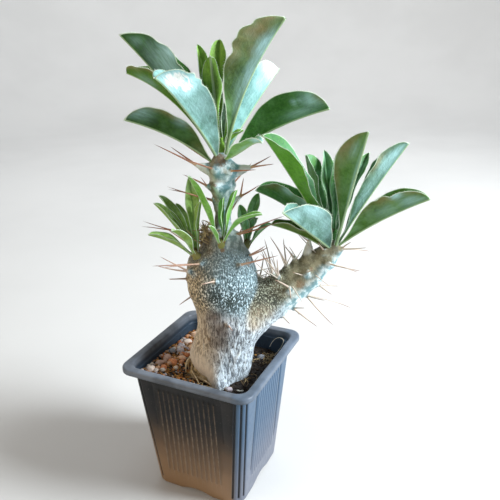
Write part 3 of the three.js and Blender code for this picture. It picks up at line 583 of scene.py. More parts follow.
# Height, centre x, centre y and radius of each ring in the plant's frame
TRUNK_RINGS = [
    [46, 7, -5, 4], [54, 7, -5, 10], [66, 6.5, -5, 13.5], [76, 6, -5, 16.2], [83, 5.5, -5, 18.2],
    [92, 5, -5, 20.1], [100, 6.4, -5, 19.7], [108, 8.5, -5, 19.1], [116, 9.3, -5, 18.9],
    [124, 8, -5, 18.4], [131, 7, -5, 19.4], [138, 6.6, -5, 20.9], [146, 6.7, -5, 21.6],
    [153, 6.1, -5, 20.6], [158, 5.6, -5, 18.9], [162, 7.4, -5, 15.4], [166, 8.6, -4.5, 12.2],
    [170, 8.6, -4, 10.2], [172, 8.4, -4, 9],
]
STEM_RINGS = [
    [160, 8.4, -4.4, 8], [170, 8.2, -4, 9.2], [174, 7.8, -3.6, 7.6], [179, 8, -3.2, 5.4],
    [184, 8.3, -3, 4.4], [189, 8.4, -3, 4.0], [194, 8.6, -3, 4.9], [199, 8.8, -3, 6.4],
    [202.6, 9, -3, 7.5], [204.6, 9.3, -3, 6.0], [206.6, 9.5, -3, 4.9], [210, 9.4, -3, 6.4],
    [214, 9, -3, 7.5], [217, 8.5, -3, 6.2], [220, 8.3, -3, 4.4], [222, 8.2, -3, 3.4],
]
# x, y, z and radius of each ring along the side branch
BRANCH_RINGS = [
    [10, -6, 117, 13], [17, -5.5, 119.5, 16], [24, -4.5, 122.5, 16], [31, -2.5, 126, 14.4],
    [39, -1, 130, 12.8], [46, 0.5, 134, 11.8], [52, 2, 138, 11.2], [57.5, 3, 141.6, 10.4],
    [62.5, 4, 145.6, 9.4], [67, 5, 150, 8.2], [71, 5.6, 154, 6.8], [74, 6, 158, 5.4],
    [75.7, 6.2, 161.6, 4], [76.4, 6.3, 164.4, 3.2],
]
# Root lobes low on the trunk: direction in degrees, how far they stand out, and half spread
ROOT_LOBES = [(-97, 8, 20), (58, 3, 34), (170, 2.4, 26)]
LOBE_HEIGHT = 76
LOBE_FADE = 13

# Spines: each row is a tubercle's foot inside the stem, its top, the tips of its spines and, where the
# tubercle is a broad wing of the stem, the radius of its foot
TUBERCLES = [
    # Below the top leaves, at the left and at the right
    ([8.6, -3.4, 209.6], [-7, -5.4, 215.4], [[-28, -14, 229], [-21, 0, 225]], 6),
    ([8, -4, 209], [3.6, -11.6, 214.6], [[-12, -19, 222]]),
    ([8, -3, 209], [3, 4, 215], [[-20, 5, 230]]),
    ([9.6, -3.4, 209.4], [26, -5, 213.6], [[38, -14, 217], [37, -1, 219]], 6),
    ([9, -4, 208], [14, -11.4, 213.4], [[28, -23, 216]]),
    # Halfway up the main stem
    ([8.4, -3.4, 199], [-1.4, -6.4, 203.4], [[-13, -15, 212]], 4.4),
    ([8.2, -4, 199.6], [4.0, -13, 205], [], 4.8),
    ([8, -3, 188], [2.4, -4.4, 194.6], [[-22, -16.4, 205.6], [-24, 2.5, 199]], 3.0),
    ([8.6, -3.4, 187.4], [20, -6, 197.4], [[30, -13, 205], [21, -16, 210]], 3.6),
    ([7, -3, 182], [12.4, -5.5, 186.5], [[18, -10, 197]], 3.2),
    ([8.6, -3, 194], [13, 6, 200], [[26, 14, 212], [10, 20, 214]], 3.6),
    ([7.5, -3, 189], [5, 3, 192], [[-6, 17, 203], [8, 22, 199]], 3.2),
    ([8, -3, 206], [10, 7, 212.5], [[20, 21, 221], [1, 24, 222]]),
    # Left shoulder of the trunk
    ([2, -4, 164], [-6, -1, 171], [[-41, 4, 179], [-43, 9, 174]]),
    ([4, -5, 162], [-2.5, -6, 177.5], [[-4, -12, 184]]),
    ([-1, -12, 147], [-13, -19, 155.5], [[-27.5, -25, 167], [-30, -27, 162.5]]),
    ([0, -10, 154], [-5, -20.5, 160.5], [[-31, -32, 164], [-24, -37, 165]]),
    ([0, -2, 152], [-11, 8, 161], [[-30, 18, 170], [-24, 24, 163]]),
    # Right shoulder of the trunk
    ([9, -5, 168], [16, -8, 174], [[44, -15, 187], [44, -4, 181]]),
    ([12, -10, 153], [18.5, -22, 160], [[40, -31, 169]]),
    ([14, -7, 155], [23.4, -10, 161], [[33, -18, 170], [35, -7, 165]]),
    ([10, 0, 154], [14, 13, 162], [[22, 28, 172], [8, 31, 169]]),
    ([4, 2, 140], [-2, 15.5, 145], [[-10, 32, 152]]),
    ([12, 2, 132], [21, 12.6, 138], [[30, 28, 146]]),
    # Trunk sides
    ([5, -12, 149], [4, -26.5, 151.5], [[-4, -36, 154]]),
    ([0, -8, 145], [-14.5, -10, 146.5], [[-24, -19, 150], [-27, -2, 143]]),
    ([0, -9, 137], [-11, -15, 138], [[-19, -21, 134]]),
    ([8, -8, 120], [10, -24.5, 122], [[13, -30, 121]]),
    # Upper side of the branch
    ([37, 0, 131], [37.6, -3, 145.5], [[31, -12, 167], [33, 5, 166]]),
    ([40, 0, 134], [41.4, -6, 145], [[30, -15, 164], [40, -11, 159]]),
    ([46, 1, 136], [46.5, 0.4, 150], [[36, -5, 171], [45, 9, 165]]),
    ([51, 2, 139], [52, 3, 153], [[46, 9, 159]]),
    ([60, 4, 146], [60.6, 3.6, 164], [[55, -1, 170], [61.5, 9, 169]]),
    ([68, 5, 150], [69.6, 1.4, 159], [[65, -4, 167]]),
    ([30, 0, 128], [29.5, 5.6, 139.5], [[24, 12, 155], [33, 16, 152]]),
    # Outer end of the branch
    ([74, 6, 154], [80.5, 4.6, 158.5], [[86, 0, 165], [95, -5, 163], [101, 12, 154]]),
    ([66, 4, 149], [72, -3.5, 152.4], [[81, -15, 154], [92, -6, 148]]),
    ([67, 5, 148], [76, 6, 148], [[94, 13, 139]]),
    ([70, 6, 152], [72.5, 13, 156], [[80, 28, 163], [66, 30, 162]]),
    # Underside and front of the branch
    ([58, 4, 141], [66.4, 3, 136], [[75, -3, 131], [82, 12, 130]]),
    ([54, 3, 139], [59, 1, 129.5], [[76, -11, 113], [91, 9, 115], [70, -9, 130]]),
    ([45, 1, 133], [50.8, -1.4, 121.6], [[66, -10, 112], [57, -15, 128], [56, 9, 111]]),
    ([38, 0, 129], [43, -7, 120], [[48, -15, 117]]),
    ([47, 1, 135], [47.6, -11, 140], [[38, -19, 149], [48, -20, 137]]),
    ([57, 3, 142], [59, -6.4, 148.4], [[61, -17, 154]]),
    ([44, 2, 133], [43, 13, 136], [[38, 28, 144], [50, 30, 141]]),
    ([55, 4, 141], [56, 14.5, 144], [[50, 29, 152], [63, 30, 150]]),
    ([34, 0, 127], [33, 11.6, 120], [[30, 26, 113], [41, 27, 114]]),
]
TUBERCLE_SOFTNESS = 2.5
TUBERCLE_SLOPE = 0.5
TUBERCLE_NEAR = 24.0
BRANCH_TUBERCLE_RISE = 1.8
STEM_SOFTNESS = 4.0
CROTCH_SOFTNESS = 10.0
CROTCH_SHARPNESS = 2.2
VOXEL = 0.62
SETTLING_ROUNDS = 7


def column_distance(points, rings):
    """How far points lie outside an upright body given by its rings"""
    rings = curve_through(rings, 6)
    z = points[:, 2]
    x, y, radius = (np.interp(z, rings[:, 0], rings[:, column]) for column in (1, 2, 3))
    across, away = points[:, 0] - x, points[:, 1] - y
    if rings[0][0] < LOBE_HEIGHT:
        angle = np.degrees(np.arctan2(away, across))
        for toward, reach, spread in ROOT_LOBES:
            off = np.abs((angle - toward + 540) % 360 - 180)
            radius = radius + reach * bell(z - LOBE_HEIGHT, LOBE_FADE) * bell(off, spread)
    slope = np.interp(z, rings[:, 0], np.gradient(rings[:, 3], rings[:, 0]))
    side = (np.hypot(across, away) - radius) / np.sqrt(1 + np.clip(slope, -2, 2) ** 2)
    return np.maximum(side, np.maximum(z - rings[-1][0], rings[0][0] - z))


def line_distance(points, rows):
    """How far points lie outside a round body along a line of x, y, z and radius rows"""
    nearest = np.full(len(points), FAR)
    for start, end in zip(rows[:-1], rows[1:]):
        run = end[:3] - start[:3]
        share = np.clip((points - start[:3]) @ run / (run @ run), 0, 1)
        radius = start[3] + share * (end[3] - start[3])
        gap = np.linalg.norm(points - start[:3] - share[:, None] * run, axis=1) - radius
        nearest = np.minimum(nearest, gap)
    return nearest


def branch_distance(points):
    return line_distance(points, curve_through(BRANCH_RINGS, 3))


def blended(first, second, softness):
    """The smaller of two distances, with a fillet where they meet"""
    share = np.clip(0.5 + 0.5 * (second - first) / softness, 0, 1)
    return second + share * (first - second) - softness * share * (1 - share)


def raised(foot, top):
    """Top of a tubercle, which stands further out on the branch"""
    foot, top = np.array(foot, float), np.array(top, float)
    return top + unit(top - foot) * BRANCH_TUBERCLE_RISE * smoothstep(foot[0], 26, 36)


def tubercle_rows(foot, top, root=None):
    """Tubercle as a short line with its radii: broad inside the stem and slim at its top"""
    foot, top = np.array(foot, float), raised(foot, top)
    root = root or min(6.5, 0.8 + TUBERCLE_SLOPE * np.linalg.norm(top - foot))
    return np.array([[*foot, root], [*(foot + 0.7 * (top - foot)), 0.34 * root + 0.5], [*top, 0.8]])


def plain_distance(points):
    """Trunk, main stem and branch, which meet in a sharp crease on top and a soft fillet below"""
    whole = blended(column_distance(points, TRUNK_RINGS), column_distance(points, STEM_RINGS), STEM_SOFTNESS)
    softness = CROTCH_SOFTNESS + (CROTCH_SHARPNESS - CROTCH_SOFTNESS) * smoothstep(points[:, 2], 114, 136)
    return blended(whole, branch_distance(points), softness)


def caudex_distance(points):
    whole = plain_distance(points)
    for foot, top, _, *root in TUBERCLES:
        near = np.linalg.norm(points - np.array(top, float), axis=1) < TUBERCLE_NEAR
        if near.any():
            knob = line_distance(points[near], tubercle_rows(foot, top, *root))
            whole[near] = blended(whole[near], knob, TUBERCLE_SOFTNESS)
    return whole


def rough_caudex():
    """Closed shells that together hold the caudex, for the remesh to join"""
    build = Build()
    columns = [curve_through(rings, 2)[:, [1, 2, 0, 3]] for rings in (TRUNK_RINGS, STEM_RINGS)]
    for rows in (*columns, curve_through(BRANCH_RINGS, 2)):
        build.add(*tube(rows[:, :3], rows[:, 3] + 1.0, 32))
    for foot, top, _, *root in TUBERCLES:
        rows = tubercle_rows(foot, top, *root)
        build.add(*tube(rows[:, :3], rows[:, 3] + 0.5, 10))
    toward, reach, _ = ROOT_LOBES[0]
    x, y, _ = spun([17 + reach - 6, 0, 0], math.radians(toward))
    build.add(*tube([[6 + x, y - 5, z] for z in (58, 68, 78, 88)], [4, 6, 6.5, 4], 16))
    return build


# Marks in the plant's frame as x, y, z, size and strength: brown scars and dry patches
SCARS = [
    [3.9, -13.2, 205.4, 2.2, 1.0], [1, -7, 207, 3, 0.75], [8, -8.5, 206, 2.6, 0.65],
    [13, -7, 206.4, 2.2, 0.5], [8, -16, 167, 2.0, 1.0], [-2.5, -8, 176, 7, 1.0], [0, -14.5, 165, 5, 0.55],
    [24, -14.5, 158, 3.5, 0.8], [17, -8, 176, 3, 0.8], [54.4, -7.5, 140.5, 4.5, 0.8],
    [61.3, -4.5, 149.4, 1.6, 1.0], [-1.8, -20.8, 110.8, 1.7, 1.0], [39, -8, 140.5, 5, 0.5],
    [8.4, -9, 219, 5.5, 0.95], [4, -9, 214.5, 3.5, 0.5], [-3, -6, 209, 6, 0.6], [-1, -7, 171, 7, 0.9],
    [-7.8, -18, 159, 3.5, 0.7], [12, -24.5, 147, 1.0, 0.5],
]
# Places where the gaps between the beads are dark
FLECKS = [
    [3, -26, 141, 7, 0.9], [12, -25.5, 138, 8, 1.0], [-5, -21, 139, 6, 0.6], [19, -20, 136, 7, 0.7],
    [31, -14.5, 133, 7, 1.0], [38, -14, 131, 7, 1.0], [36, -15, 124, 6, 0.6], [0, -20, 157, 6, 0.7],
    [7, -22, 158, 7, 0.5], [28, -10, 140, 6, 0.6],
]
# Earthy brown stains low on the trunk
EARTH = [
    [1.5, -23, 127, 8, 1.0], [5, -24, 119, 9, 1.0], [4, -24, 110, 8, 0.9], [12, -23, 124, 5, 0.5],
    [2, -22, 101, 7, 0.5], [30, -10, 121, 6, 0.4], [-4, -20, 119, 6, 0.5],
]
# Ridges low on the trunk, and wrinkles on its right shoulder and the main stem: start, end, width, height
RIDGES = [
    ([9.8, -24, 109], [13.5, -23.6, 98], 1.1, 0.5), ([20.4, -19.6, 110], [14.2, -23.4, 98], 1.1, 0.6),
    ([13.8, -23.5, 98], [12, -22.5, 86], 1.3, 0.5), ([21, -18.4, 104], [19, -18.6, 88], 1.2, 0.5),
    ([15.5, -22.6, 118], [13, -23.4, 108], 1.2, 0.6), ([4, -24, 103], [7, -23.5, 90], 1.4, 0.5),
    ([-6, -18.6, 112], [-4, -20.5, 96], 1.4, 0.5), ([27, -14, 121], [20.5, -19, 109], 1.4, 0.7),
    ([16.4, -15.6, 162.2], [19.4, -15.6, 160], 0.7, -0.6),
    ([19.4, -15.6, 160], [22.6, -13, 162.6], 0.7, -0.6),
    ([0, -6.5, 206.6], [9, -9, 205.4], 1.5, -1.4), ([9, -9, 205.4], [16, -5, 207], 1.5, -1.2),
]
# Direction to the window in the plant's frame: the bark is painted lighter and bluer on the side facing it
LIGHT_SIDE = np.array([0.94, -0.34, 0.0])


def spots(points, rows):
    """Share of the nearest of several soft round spots at each point"""
    share = np.zeros(len(points))
    for x, y, z, size, strength in rows:
        share = np.maximum(share, strength * bell(np.linalg.norm(points - [x, y, z], axis=1), size))
    return share


def ridge_relief(points):
    height = np.zeros(len(points))
    for start, end, width, rise in RIDGES:
        line = np.array([[*start, 0.0], [*end, 0.0]])
        swell = rise * bell(line_distance(points, line), width)
        height = np.where(np.abs(swell) > np.abs(height), swell, height)
    return height


def beaded_bark(finish, bead, lee, height):
    """Pale beads with dark gaps between them, with painted light: bright bluish towards the window and tan
    in the shaded lee, and painted shade towards the trunk's top
    """
    fleck = finish.value("fleck")
    shine = finish.span(bead, 0.52, 0.66)
    tan = finish.mix(shine, (0.36, 0.27, 0.145), (0.82, 0.68, 0.46))
    olive = finish.mix(shine, (0.19, 0.2, 0.135), (0.52, 0.54, 0.42))
    blue = finish.mix(shine, (0.17, 0.265, 0.3), (0.66, 0.81, 0.88))
    # Painted light: bright bluish beads facing the window, tan or olive ones in the lee
    beads = finish.mix(lee, blue, finish.mix(finish.value("arm"), tan, olive))
    gaps = finish.over((0.055, 0.09, 0.1), ((0.08, 0.06, 0.03), lee), ((0.018, 0.034, 0.024), fleck, 0.85))
    gap = finish.span(finish.scaled(fleck, -0.13, bead), 0.39, 0.51, 1, 0)
    # Painted shade: darker towards the trunk's top
    return finish.over(beads, (gaps, gap), ((0.115, 0.16, 0.165), finish.span(height, 148, 160, 0, 0.5)))


def dry_bark(finish, streak, lee, height):
    """Upright dry streaks, with dark earthy stains, ticks and pale ridges, mostly painted light: silvery
    towards the window, tan in the shaded lee and pale where warm light falls low down in the lee
    """
    tan = finish.mix(finish.span(streak, 0.40, 0.58), (0.22, 0.16, 0.095), (0.68, 0.56, 0.4))
    silver = finish.mix(finish.span(streak, 0.40, 0.57), (0.13, 0.155, 0.18), (0.68, 0.78, 0.85))
    earth = finish.mix(finish.span(streak, 0.38, 0.66), (0.048, 0.032, 0.024), (0.2, 0.145, 0.105))
    tick = finish.noise(0.8, finish.place((1, 1, 0.35)), rough=0.7)
    return finish.over(
        # Mostly painted light: silvery streaks facing the window, tan ones in the lee
        finish.mix(lee, silver, tan),
        (earth, finish.value("earth"), 0.9),
        ((0.05, 0.04, 0.032), finish.span(tick, 0.57, 0.65), 0.85),
        ((0.8, 0.79, 0.74), finish.span(finish.value("ridge"), 0.25, 0.8, 0, 0.7)),
        # Painted warm light low down in the lee
        ((0.86, 0.77, 0.66), finish.span(height, 88, 106, 0.75, 0), lee))


def smooth_bark(finish, bead, lee, height):
    """Young skin, bright bluish towards the window, partly its wax and partly painted light, olive in the
    shaded lee and dull on the trunk's shoulder
    """
    patch = finish.noise(5, detail=5, rough=0.6)
    olive = finish.mix(finish.span(patch, 0.35, 0.65), (0.11, 0.10, 0.055), (0.26, 0.24, 0.15))
    waxy_and_lit = finish.mix(finish.span(patch, 0.40, 0.62), (0.17, 0.34, 0.38), (0.78, 0.93, 0.97))
    dull = finish.mix(finish.span(patch, 0.4, 0.6), (0.10, 0.105, 0.08), (0.3, 0.33, 0.3))
    off_arm = finish.span(finish.value("arm"), 0, 1, 1, 0)
    return finish.over(
        # Painted light with some wax: bright bluish skin facing the window, olive in the lee
        finish.mix(lee, waxy_and_lit, olive),
        (dull, finish.span(height, 170, 184, 0.8, 0), off_arm),
        ((0.16, 0.17, 0.12), finish.span(bead, 0.3, 0.46, 0.22, 0)))


def bark():
    """Beads above, dry streaks below, and smooth skin on the stem and the branch's end"""
    finish = Finish("netted_bark", IOR=1.42, Sheen_Weight=0.08, Sheen_Roughness=0.5)
    lee, young, upper = finish.value("lee"), finish.value("young"), finish.value("upper")
    height = finish.along("Z")
    bead = finish.noise(0.88, finish.place((1, 1, 0.6)), detail=2, rough=0.6, warp=0.4)
    streak = finish.noise(1.15, finish.place((1, 1, 0.27)), detail=4.5, rough=0.68, warp=0.5)
    scar = finish.times(finish.value("scar"), finish.span(bead, 0.3, 0.6, 1.15, 0.75))
    colour = finish.over(
        dry_bark(finish, streak, lee, height),
        (beaded_bark(finish, bead, lee, height), upper),
        (smooth_bark(finish, bead, lee, height), young),
        ((0.68, 0.7, 0.66), finish.span(finish.value("knob"), 0.25, 1, 0, 0.8)),
        ((0.19, 0.12, 0.06), finish.span(scar, 0.25, 0.8, 0, 0.92)))
    beaded = finish.math("MAXIMUM", finish.scaled(young, -0.85, upper), 0)
    beads_up = finish.times(finish.span(bead, 0.34, 0.62), beaded)
    normal = finish.bump(beads_up, 0.32, finish.bump(streak, 0.35))
    return finish.done(colour, finish.span(bead, 0.3, 0.7, 0.5, 0.72), normal)


def settled(points):
    """Points moved to the caudex's surface, and the directions out of it"""
    step = 0.05
    for _ in range(SETTLING_ROUNDS):
        gap = caudex_distance(points)
        slope = np.stack([caudex_distance(points + step * axis) - gap for axis in np.eye(3)], axis=1) / step
        steep = np.maximum(np.sum(slope ** 2, axis=1), 0.25)
        points = points - np.clip(0.85 * gap / steep, -1.5, 1.5)[:, None] * slope
    return points, unit(slope)


def bark_values(points, outward):
    """Shares that the bark's relief and colour follow at each point"""
    x, _, z = points.T
    arm = column_distance(points, TRUNK_RINGS) - branch_distance(points)
    arm = smoothstep(arm, -1, 3) * smoothstep(x, 18, 26)
    drift = noise_at(points, 16)
    # lee: the side turned away from the window, where the bark's colours are painted as in shade; on the
    # branch it also takes the olive upper side
    lee = smoothstep(-outward @ LIGHT_SIDE + 0.25 * drift, -0.45, 0.5)
    lee = np.maximum(lee, arm * smoothstep(outward[:, 2] + 0.2 * drift, -0.35, 0.35))
    young = smoothstep(z + 0.3 * x + 3 * drift, 166, 174) * (1 - arm)
    return dict(
        knob=smoothstep(plain_distance(points), 0.8, 4), lee=lee, arm=arm,
        young=np.maximum(young, arm * smoothstep(x + 4 * drift, 38, 52)),
        upper=smoothstep(z + 6 * drift - 7 * spots(points, EARTH), 118, 134), ridge=ridge_relief(points))


def add_caudex():
    rough = rough_caudex().finish("trunk", bark(), "bark")
    remesh = rough.modifiers.new("joined", "REMESH")
    remesh.mode = "VOXEL"
    remesh.voxel_size = VOXEL * MM
    shell = evaluated_mesh(rough)
    bpy.data.objects.remove(rough)
    points, outward = settled(np.array([vertex.co for vertex in shell.vertices], float) / MM)
    values = bark_values(points, outward)
    young, upper = values["young"], values["upper"]
    crease = noise_at(points * [1, 1, 0.16], 2.1, 1) + 0.6 * noise_at(points * [1, 1, 0.2], 1.2, 2)
    lumps = noise_at(points, 3, 3) + 0.8 * noise_at(points, 1.4, 4)
    relief = 0.55 * noise_at(points, 10, 5) + (1 - upper) * 0.36 * crease
    relief += upper * (1 - young) * 0.3 * lumps + young * 0.14 * lumps
    points = points + outward * (relief * (1 - 0.8 * values["knob"]) + values["ridge"])[:, None]
    for name, rows in (("scar", SCARS), ("fleck", FLECKS), ("earth", EARTH)):
        values[name] = spots(points, rows)
    build = Build(*values)
    build.add(to_pot(points), [list(face.vertices) for face in shell.polygons], **values)
    build.finish("caudex_body", bpy.data.materials["netted_bark"], "bark", ["caudex"])


add_caudex()


# Spines

SPINE_RADIUS = 0.62
SPINE_SIDES = 7
SPINE_STEPS = 11
FINE_SPINE = 0.62
# Fine white spines between the trunk and the branch, FINE_SPINE times as thick: root and tip
FINE_SPINES = [
    ([37, -3, 144], [27, -14, 158]), ([37, -3, 144], [30, 2, 162]), ([41, -6, 144], [33, -18, 155]),
    ([41, -6, 144], [37, -3, 161]), ([46, 0, 149], [40, -9, 166]), ([46, 0, 149], [50, -6, 161]),
    ([52, 3, 151], [44, -3, 166]), ([52, 3, 151], [56, -5, 163]), ([27.5, -6, 149], [39, -10, 153]),
    ([27.5, -4, 146], [38, -6, 144]), ([27, -2, 143], [37, -8, 149]), ([33, -2, 141.5], [27, -9, 150]),
    ([33, -2, 141.5], [35, -10, 152]), ([60, 4, 162], [52, 2, 172]), ([66, 4, 156], [59, -4, 166]),
    ([56, -6, 146], [49, -15, 152]), ([49, -9, 141], [55, -17, 133]), ([62, -3, 147], [72, -12, 141]),
]


def spine_finish():
    """Red-brown horn when young, and bone white with a dark tip when old"""
    finish = Finish("spine_horn", IOR=1.5)
    along = finish.value("along")
    streak = finish.noise(0.8)
    young = finish.mix(finish.span(along, 0.02, 0.3), (0.46, 0.28, 0.16), (0.33, 0.12, 0.05))
    old = finish.mix(finish.span(along, 0.55, 0.95), (0.66, 0.6, 0.52), (0.26, 0.12, 0.065))
    colour = finish.over(
        young,
        ((0.13, 0.045, 0.025), finish.span(along, 0.55, 1)),
        (old, finish.value("age")),
        ((0.6, 0.5, 0.4), finish.span(streak, 0.45, 0.75, 0, 0.35)))
    return finish.done(colour, finish.span(streak, 0.3, 0.7, 0.3, 0.5), finish.bump(streak, 0.04))


def add_spine(build, root, tip, age, rng, thickness=1.0):
    """Slender horn from inside its tubercle to a sharp tip, flared at its base and slightly bowed"""
    root, tip = np.array(root, float), np.array(tip, float)
    t = np.linspace(0, 1, SPINE_STEPS)
    bow = np.array([rng.uniform(-1, 1) for _ in range(3)]) * 0.028 * np.linalg.norm(tip - root)
    path = root + (tip - root) * t[:, None] + bow * (4 * t * (1 - t))[:, None]
    radii = thickness * SPINE_RADIUS * ((1 - t) ** 0.6 + 0.8 * bell(t, 0.07)) + 0.02
    points, faces = tube(path, radii, SPINE_SIDES)
    build.add(to_pot(points), faces, along=np.repeat(t, SPINE_SIDES), age=age)


def add_spines():
    rng = random.Random(11)
    build = Build("along", "age")
    for foot, top, tips, *_ in TUBERCLES:
        top = raised(foot, top)
        root = top + unit(foot - top) * 1.5
        age = float(max(smoothstep(top[0], 24, 34) * 0.85, smoothstep(170 - top[2], 0, 22) * 0.6))
        for tip in tips:
            add_spine(build, root, tip, age * rng.uniform(0.75, 1.1), rng)
    for root, tip in FINE_SPINES:
        add_spine(build, root, tip, rng.uniform(0.8, 1.0), rng, FINE_SPINE)
    build.finish("spines", spine_finish(), "bark", ["caudex"])


add_spines()


# Leaves: thin blades folded along the midrib, by the same formula as the solids

MID = (0.105, 0.235, 0.055)
DARK = (0.045, 0.115, 0.032)
# Bluish-white haze: partly glaucous wax, partly painted sheen
BLOOM_AND_SHEEN = (0.42, 0.70, 0.72)
GLARE = (0.90, 0.95, 0.92)
TAN = (0.22, 0.185, 0.08)
MARGIN = (0.58, 0.70, 0.54)
KEEL = (0.36, 0.50, 0.28)
HAIR = (0.80, 0.86, 0.78)
FOOT_BROWN = (0.24, 0.13, 0.05)
TIP_CROWDING = 1.35
# Large and small blades: places across the half blade, rows, keel width, margin width and keel depth
BLADE = ([0.04, 0.1, 0.18, 0.28, 0.4, 0.52, 0.64, 0.75, 0.85, 0.93, 0.98, 1], 64, 0.85, 0.5, 0.75)
SMALL_BLADE = ([0.08, 0.22, 0.42, 0.65, 0.85, 1], 26, 0.45, 0.32, 0.45)
HALF_THICKNESS = 0.26
PETIOLE = 1.25
CREASE = 0.05
WAVES = 2.2
HAIR_SPACING = 0.75
LEAF_FORM = dict(stand=1.6, widest=0.65, slim=0.8, taper=0.55, wave=0.8, phase=0, hook=0, ripple=1.1,
                 notches=(), green=MID, deep=DARK, bloom=0.3, inner_green=None, pale=(), tan=(), dark=())


def leaf_row(tip, rise, width, arch=2, fold=58, roll=0, **more):
    """A leaf by its tip, its foot's height, its half width, arch, fold and roll, and its other values"""
    return {**LEAF_FORM, **dict(tip=tip, rise=rise, width=width, arch=arch, fold=fold, roll=roll), **more}


def blade_share(s, leaf):
    """Share of the full width along the blade"""
    low = ((1 - np.cos(np.pi * np.minimum(s, leaf["widest"]) / leaf["widest"])) / 2) ** leaf["slim"]
    past = np.clip((s - leaf["widest"]) / (1 - leaf["widest"]), 0, 1)
    return np.where(s < leaf["widest"], low, (1 - past ** 2) ** leaf["taper"])


def leaf_surface(axis, leaf, s, u, seed):
    """Middle surface of a leaf as rows of points, its length and its half width along it"""
    tip = np.array(leaf["tip"], float)
    outward = unit(np.array([tip[0] - axis[0], tip[1] - axis[1], 0.0]))
    foot = np.array([axis[0], axis[1], leaf["rise"]]) + outward * leaf["stand"]
    chord = tip - foot
    length = np.linalg.norm(chord)
    ahead = unit(chord)
    upright = turned(unit(UP - ahead * ahead[2]), ahead, math.radians(leaf["roll"]))
    aside = np.cross(ahead, upright)

    def midrib(t):
        bend = leaf["arch"] * 4 * t * (1 - t) - leaf["hook"] * t ** 10
        return foot + chord * t[:, None] + upright * bend[:, None]

    lift = np.cross(aside, unit(midrib(np.minimum(s + 0.01, 1)) - midrib(np.maximum(s - 0.01, 0))))
    half = np.maximum(leaf["width"] * blade_share(s, leaf), PETIOLE * (1 - s) + 0.3)
    wide = half[:, None] * np.ones_like(u)
    for at, side, depth, reach in leaf["notches"]:
        wide = wide - depth * bell(s - at, reach)[:, None] * (u * side > 0)
    openness = smoothstep(s, 0, 0.3)[:, None]
    turns = WAVES * 2 * np.pi * s[:, None] + leaf["phase"] + np.where(u > 0, 0, 2)
    swing = leaf["wave"] * u * u * openness * np.sin(turns)
    places = np.stack(np.broadcast_arrays(s[:, None] * length / 6, np.sign(u) * 3, seed), axis=-1)
    ripple = noise_at(places, 1.0, seed) * np.abs(u) ** 3 * np.minimum(half[:, None] / 12, 1) * openness
    swing = swing + leaf["ripple"] * ripple
    angle = np.radians(30 + (leaf["fold"] - 30) * openness) - math.radians(10) * np.abs(u)
    soft = np.sqrt(u ** 2 + CREASE ** 2) - CREASE
    x = wide * u * np.cos(angle) - np.sign(u) * swing * np.sin(angle)
    y = wide * soft * np.sin(angle) + swing * np.cos(angle)
    surface = midrib(s)[:, None] + aside * x[..., None] + lift[:, None] * y[..., None]
    return surface, length, half


def blotches(s, u, rows):
    """Strongest of several soft oval spots, each with its place along, place across, sizes and strength"""
    share = np.zeros((len(s), u.shape[1]))
    for along, across, length, width, strength in rows:
        share = np.maximum(share, strength * bell(s[:, None] - along, length) * bell(u - across, width))
    return share


def add_blade(build, axis, leaf, seed, small=False):
    """One leaf blade with its keel, margins, curled tip and margin hairs"""
    halves, rows, keel_width, margin, keel_depth = SMALL_BLADE if small else BLADE
    u = np.array([-x for x in reversed(halves)] + [0] + halves)[None, :]
    s = 1 - (1 - np.linspace(0, 1, rows)) ** TIP_CROWDING
    middle, length, half = leaf_surface(axis, leaf, s, u, seed)
    normal = unit(np.cross(np.gradient(middle, axis=1), np.gradient(middle, axis=0)))
    reach = half[:, None] * u
    keel = bell(reach, keel_width)
    edge = np.exp(-half[:, None] * (1 - np.abs(u)) / margin)
    thin = HALF_THICKNESS * np.sqrt(np.clip(1 - np.abs(u) ** 10, 0.06, 1))
    inner = middle + normal * (thin - 0.12 * keel)[..., None]
    outer = middle - normal * (thin + keel_depth * (1 - 0.6 * s[:, None]) * keel)[..., None]
    points, faces = body(np.concatenate([inner, outer[:, ::-1]], axis=1))
    values = {name: blotches(s, u, leaf[name]) for name in ("pale", "dark", "tan")}
    values.update(run=s[:, None] * length + 0 * u, reach=reach, keel=keel, edge=edge)
    values = {name: np.hstack([value, value[:, ::-1]]) for name, value in values.items()}
    build.add(to_pot(points), faces, inner=np.hstack([0 * keel + 1, 0 * keel]), **values)
    add_point(build, middle, length)
    if not small:
        add_margin_hairs(build, middle, normal, s, length, seed)


def add_point(build, middle, length):
    """Pale curled point at the leaf's tip"""
    centre = middle.shape[1] // 2
    tip = middle[-1, centre]
    ahead = unit(tip - middle[-4, centre])
    lift = unit(middle[-8, 0] + middle[-8, -1] - 2 * middle[-8, centre])
    size = min(1.3, length / 40)
    t = np.linspace(0, 1, 6)
    path = tip + size * (ahead * (t - 0.35)[:, None] - 0.35 * lift * (t ** 2)[:, None])
    points, faces = tube(path, size * (0.36 * (1 - t) + 0.05), 6)
    build.add(to_pot(points), faces, edge=1.0, keel=1.0, run=length)


def hair(root, along, length, radius=0.1):
    """Hair with three sides, as points and faces"""
    across = unit(np.cross(along, [0.3, 0.5, 0.81]))
    upward = np.cross(along, across)
    corners = [root + radius * (across * math.cos(a) + upward * math.sin(a)) for a in (0, 2.1, 4.2)]
    return [*corners, root + along * length], [[0, 1, 3], [1, 2, 3], [2, 0, 3], [2, 1, 0]]


